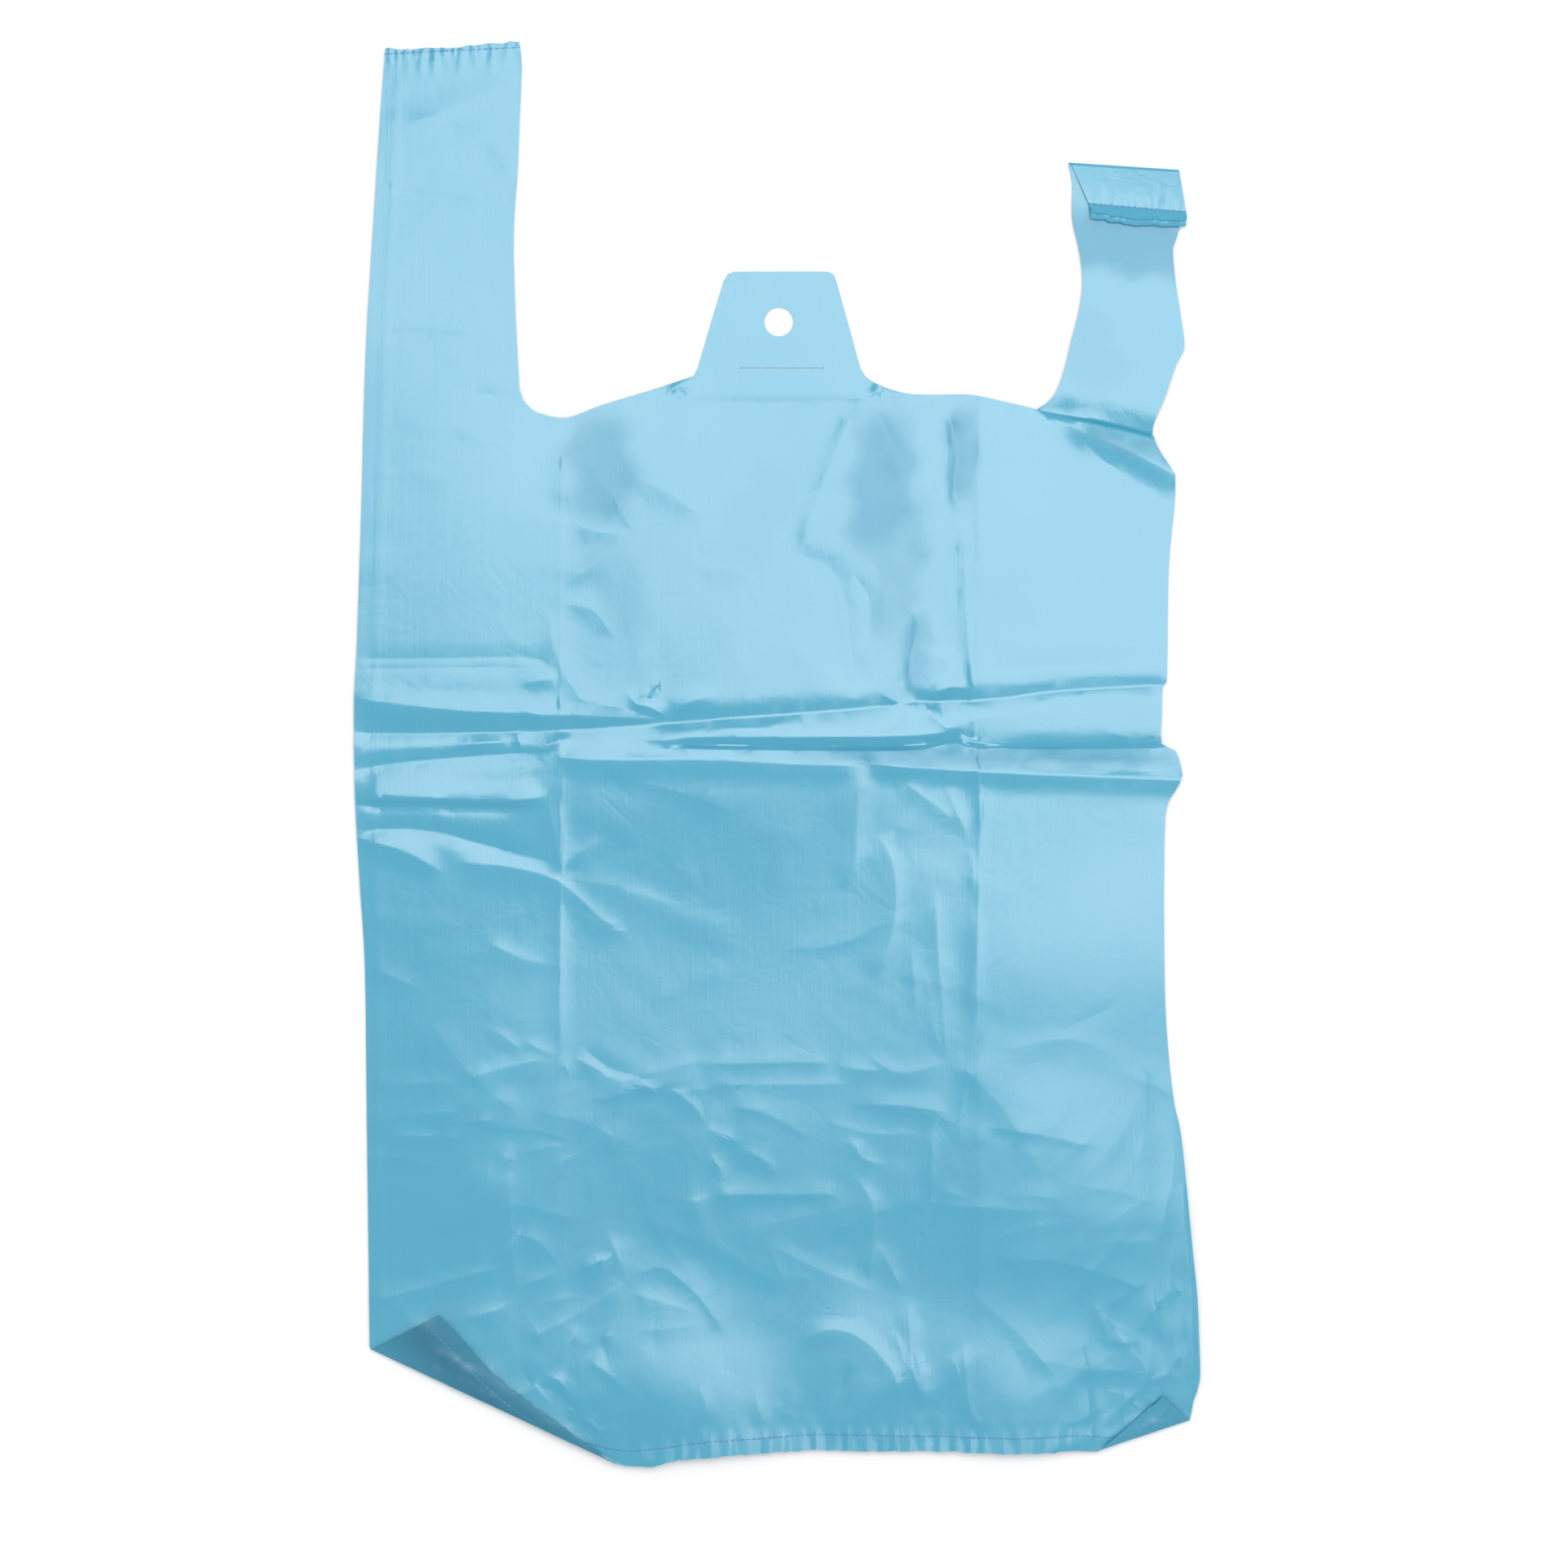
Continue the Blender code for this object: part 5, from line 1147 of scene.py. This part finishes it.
def beadTree():
    tree = bpy.data.node_groups.new("seamBeads", "GeometryNodeTree")
    named = {"Path": "Geometry", "Spacing": "Float", "Bead Size": "Vector", "Vary": "Float", "Seed": "Int",
             "Material": "Material", "Geometry": "Geometry"}
    for name, kind in named.items():
        way = "OUTPUT" if name == "Geometry" else "INPUT"
        tree.interface.new_socket(name, in_out=way, socket_type="NodeSocket" + kind)
    given, result = addNode(tree, "NodeGroupInput", (-900, 0)), addNode(tree, "NodeGroupOutput", (900, 0))
    curve = addNode(tree, "GeometryNodeMeshToCurve", (-650, 0))
    stops = addNode(tree, "GeometryNodeResampleCurve", (-450, 0), mode="LENGTH")
    ball = addNode(tree, "GeometryNodeMeshIcoSphere", (-650, -300))
    ball.inputs["Radius"].default_value = 0.5
    ball.inputs["Subdivisions"].default_value = 2
    bead = addNode(tree, "GeometryNodeTransform", (-450, -300))
    along = addNode(tree, "FunctionNodeAlignRotationToVector", (-200, -450), axis="X")
    size = addNode(tree, "FunctionNodeRandomValue", (-200, -650), data_type="FLOAT")
    place = addNode(tree, "GeometryNodeInstanceOnPoints", (100, 0))
    real = addNode(tree, "GeometryNodeRealizeInstances", (350, 0))
    painted = addNode(tree, "GeometryNodeSetMaterial", (600, 0))
    link = tree.links.new
    link(given.outputs["Path"], curve.inputs["Mesh"])
    link(curve.outputs["Curve"], stops.inputs["Curve"])
    link(given.outputs["Spacing"], stops.inputs["Length"])
    link(ball.outputs["Mesh"], bead.inputs["Geometry"])
    link(given.outputs["Bead Size"], bead.inputs["Scale"])
    link(addNode(tree, "GeometryNodeInputTangent", (-450, -500)).outputs[0], along.inputs["Vector"])
    link(math2(tree, "SUBTRACT", (-400, -650), 1.0, given.outputs["Vary"]), size.inputs[2])
    link(math2(tree, "ADD", (-400, -800), 1.0, given.outputs["Vary"]), size.inputs[3])
    link(given.outputs["Seed"], size.inputs["Seed"])
    link(stops.outputs["Curve"], place.inputs["Points"])
    link(bead.outputs["Geometry"], place.inputs["Instance"])
    link(along.outputs["Rotation"], place.inputs["Rotation"])
    link(size.outputs[1], place.inputs["Scale"])
    link(place.outputs["Instances"], real.inputs["Geometry"])
    link(real.outputs["Geometry"], painted.inputs["Geometry"])
    link(given.outputs["Material"], painted.inputs["Material"])
    link(painted.outputs["Geometry"], result.inputs["Geometry"])
    return tree


def seamPaths():
    # Along each weld on the front film, and on the back film where a fold turns it up into view
    paths = []
    for name, line in weld.items():
        points = np.array(straight(line, 1.0))
        seen = inside(points[:, 0], points[:, 1], ring)
        turned = np.max([flatPast(points[:, 0], points[:, 1], fold)[0] for fold in folds.values()], axis=0)
        turned = turned > beads["turnedFrom"]
        for level, lift, wanted in ((7, beads["lift"], seen & ~turned), (0, -beads["lift"], seen & turned)):
            x, y = points[wanted].T
            for run in np.split(np.arange(len(x)), np.flatnonzero(np.hypot(np.diff(x), np.diff(y)) > 3) + 1):
                if len(run) > 3:
                    z = levelHeight(level, x[run], y[run]) + lift
                    paths.append(np.column_stack(settle(x[run], y[run], z)))
    return paths


def seamBeads(material):
    paths = seamPaths()
    places, spans = np.vstack(paths) * mm, []
    for path in paths:
        first = spans[-1][1] + 1 if spans else 0
        spans += [(first + i, first + i + 1) for i in range(len(path) - 1)]
    mesh = bpy.data.meshes.new("seamPaths")
    mesh.from_pydata(places.tolist(), spans, [])
    track = bpy.data.objects.new("seamPaths", mesh)
    bpy.context.scene.collection.objects.link(track)
    modifier = track.modifiers.new("beads", "NODES")
    modifier.node_group = beadTree()
    size = [beads[k] * mm for k in ("length", "width", "height")]
    values = {"Spacing": beads["spacing"] * mm, "Bead Size": size,
              "Vary": beads["vary"], "Seed": beads["seed"], "Material": material}
    for item in modifier.node_group.interface.items_tree:
        if item.name in values:
            modifier[item.identifier] = values[item.name]
    depsgraph = bpy.context.evaluated_depsgraph_get()
    result = bpy.data.objects.new("seam_beads", bpy.data.meshes.new_from_object(track.evaluated_get(depsgraph)))
    bpy.data.objects.remove(track)
    result.data.shade_smooth()
    bpy.context.scene.collection.objects.link(result)
    print("seam beads:", len(result.data.polygons), "faces on", len(paths), "runs of weld")
    return result


def beadMaterial(grain):
    material, tree, shader = newMaterial("weldedFilm")
    shader.inputs["Specular IOR Level"].default_value = filmLook["specular"]
    shader.inputs["Roughness"].default_value = beads["roughness"]
    wear = addNode(tree, "ShaderNodeGroup", (-700, 0), node_tree=grain)
    share = math2(tree, "MULTIPLY_ADD", (-500, 200), wear.outputs["Mottle"], beads["mottle"])
    colour = mixed(tree, (-350, 200), filmLook["colour"], filmLook["weldColour"], share)
    feed(tree, shader.inputs["Base Color"], colour)
    return material


beadPiece = seamBeads(beadMaterial(grain))
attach(beadPiece, "root")
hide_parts("carrier_bag")


# Floor, light and camera

studio = {
    "cameraAt": (2.4, -10.9), "cameraHeight": 1500.0, "view": 541.0,
    "softboxAt": (180.0, 290.0, 1500.0), "softboxSize": (1250.0, 840.0), "softboxTurn": -30.0, "softboxPower": 13.0,
    "fillStrength": 0.70, "floorColour": 0.92, "floorLift": 0.05, "floorRoughness": 0.9,
    "floorHalf": 6.0, "floorDrop": 0.0002, "sensor": 36, "clipEnd": 20,
}


def softbox():
    lamp = bpy.data.lights.new("softbox", "AREA")
    lamp.shape, lamp.energy = "RECTANGLE", studio["softboxPower"]
    lamp.size, lamp.size_y = (side * mm for side in studio["softboxSize"])
    light = bpy.data.objects.new("softbox", lamp)
    light.location = Vector(studio["softboxAt"]) * mm
    light.rotation_euler = (0, 0, math.radians(studio["softboxTurn"]))
    bpy.context.scene.collection.objects.link(light)


def floor():
    mesh = bpy.data.meshes.new("floor")
    half, drop = studio["floorHalf"], studio["floorDrop"]
    corners = [(x, y, -drop) for x, y in ((-half, -half), (half, -half), (half, half), (-half, half))]
    mesh.from_pydata(corners, [], [(0, 1, 2, 3)])
    plane = bpy.data.objects.new("floor", mesh)
    bpy.context.scene.collection.objects.link(plane)
    material, tree, shader = newMaterial("paleFloor")
    shade = studio["floorColour"]
    shader.inputs["Base Color"].default_value = (shade, shade, shade, 1)
    shader.inputs["Roughness"].default_value = studio["floorRoughness"]
    shader.inputs["Specular IOR Level"].default_value = 0.0
    shader.inputs["Emission Color"].default_value = (1, 1, 1, 1)
    rays = addNode(tree, "ShaderNodeLightPath", (-600, 0)).outputs
    bounced = math2(tree, "MAXIMUM", (-450, 0), rays["Is Glossy Ray"], rays["Is Transmission Ray"])
    seen = math2(tree, "MAXIMUM", (-300, 0), rays["Is Camera Ray"], bounced)
    feed(tree, shader.inputs["Emission Strength"], math2(tree, "MULTIPLY", (-150, 0), seen, studio["floorLift"]))
    mesh.materials.append(material)


floor()
softbox()
world = bpy.data.worlds.new("studio")
world.use_nodes = True
background = world.node_tree.nodes["Background"]
background.inputs["Color"].default_value = (1, 1, 1, 1)
background.inputs["Strength"].default_value = studio["fillStrength"]
bpy.context.scene.world = world
bpy.context.scene.view_settings.view_transform = "Standard"

cameraData = bpy.data.cameras.new("camera")
cameraData.sensor_width = studio["sensor"]
cameraData.lens = studio["sensor"] * studio["cameraHeight"] / studio["view"]
cameraData.clip_end = studio["clipEnd"]
camera = bpy.data.objects.new("camera", cameraData)
camera.location = (studio["cameraAt"][0] * mm, studio["cameraAt"][1] * mm, studio["cameraHeight"] * mm)
bpy.context.scene.collection.objects.link(camera)
bpy.context.scene.camera = camera
print("studio ready")
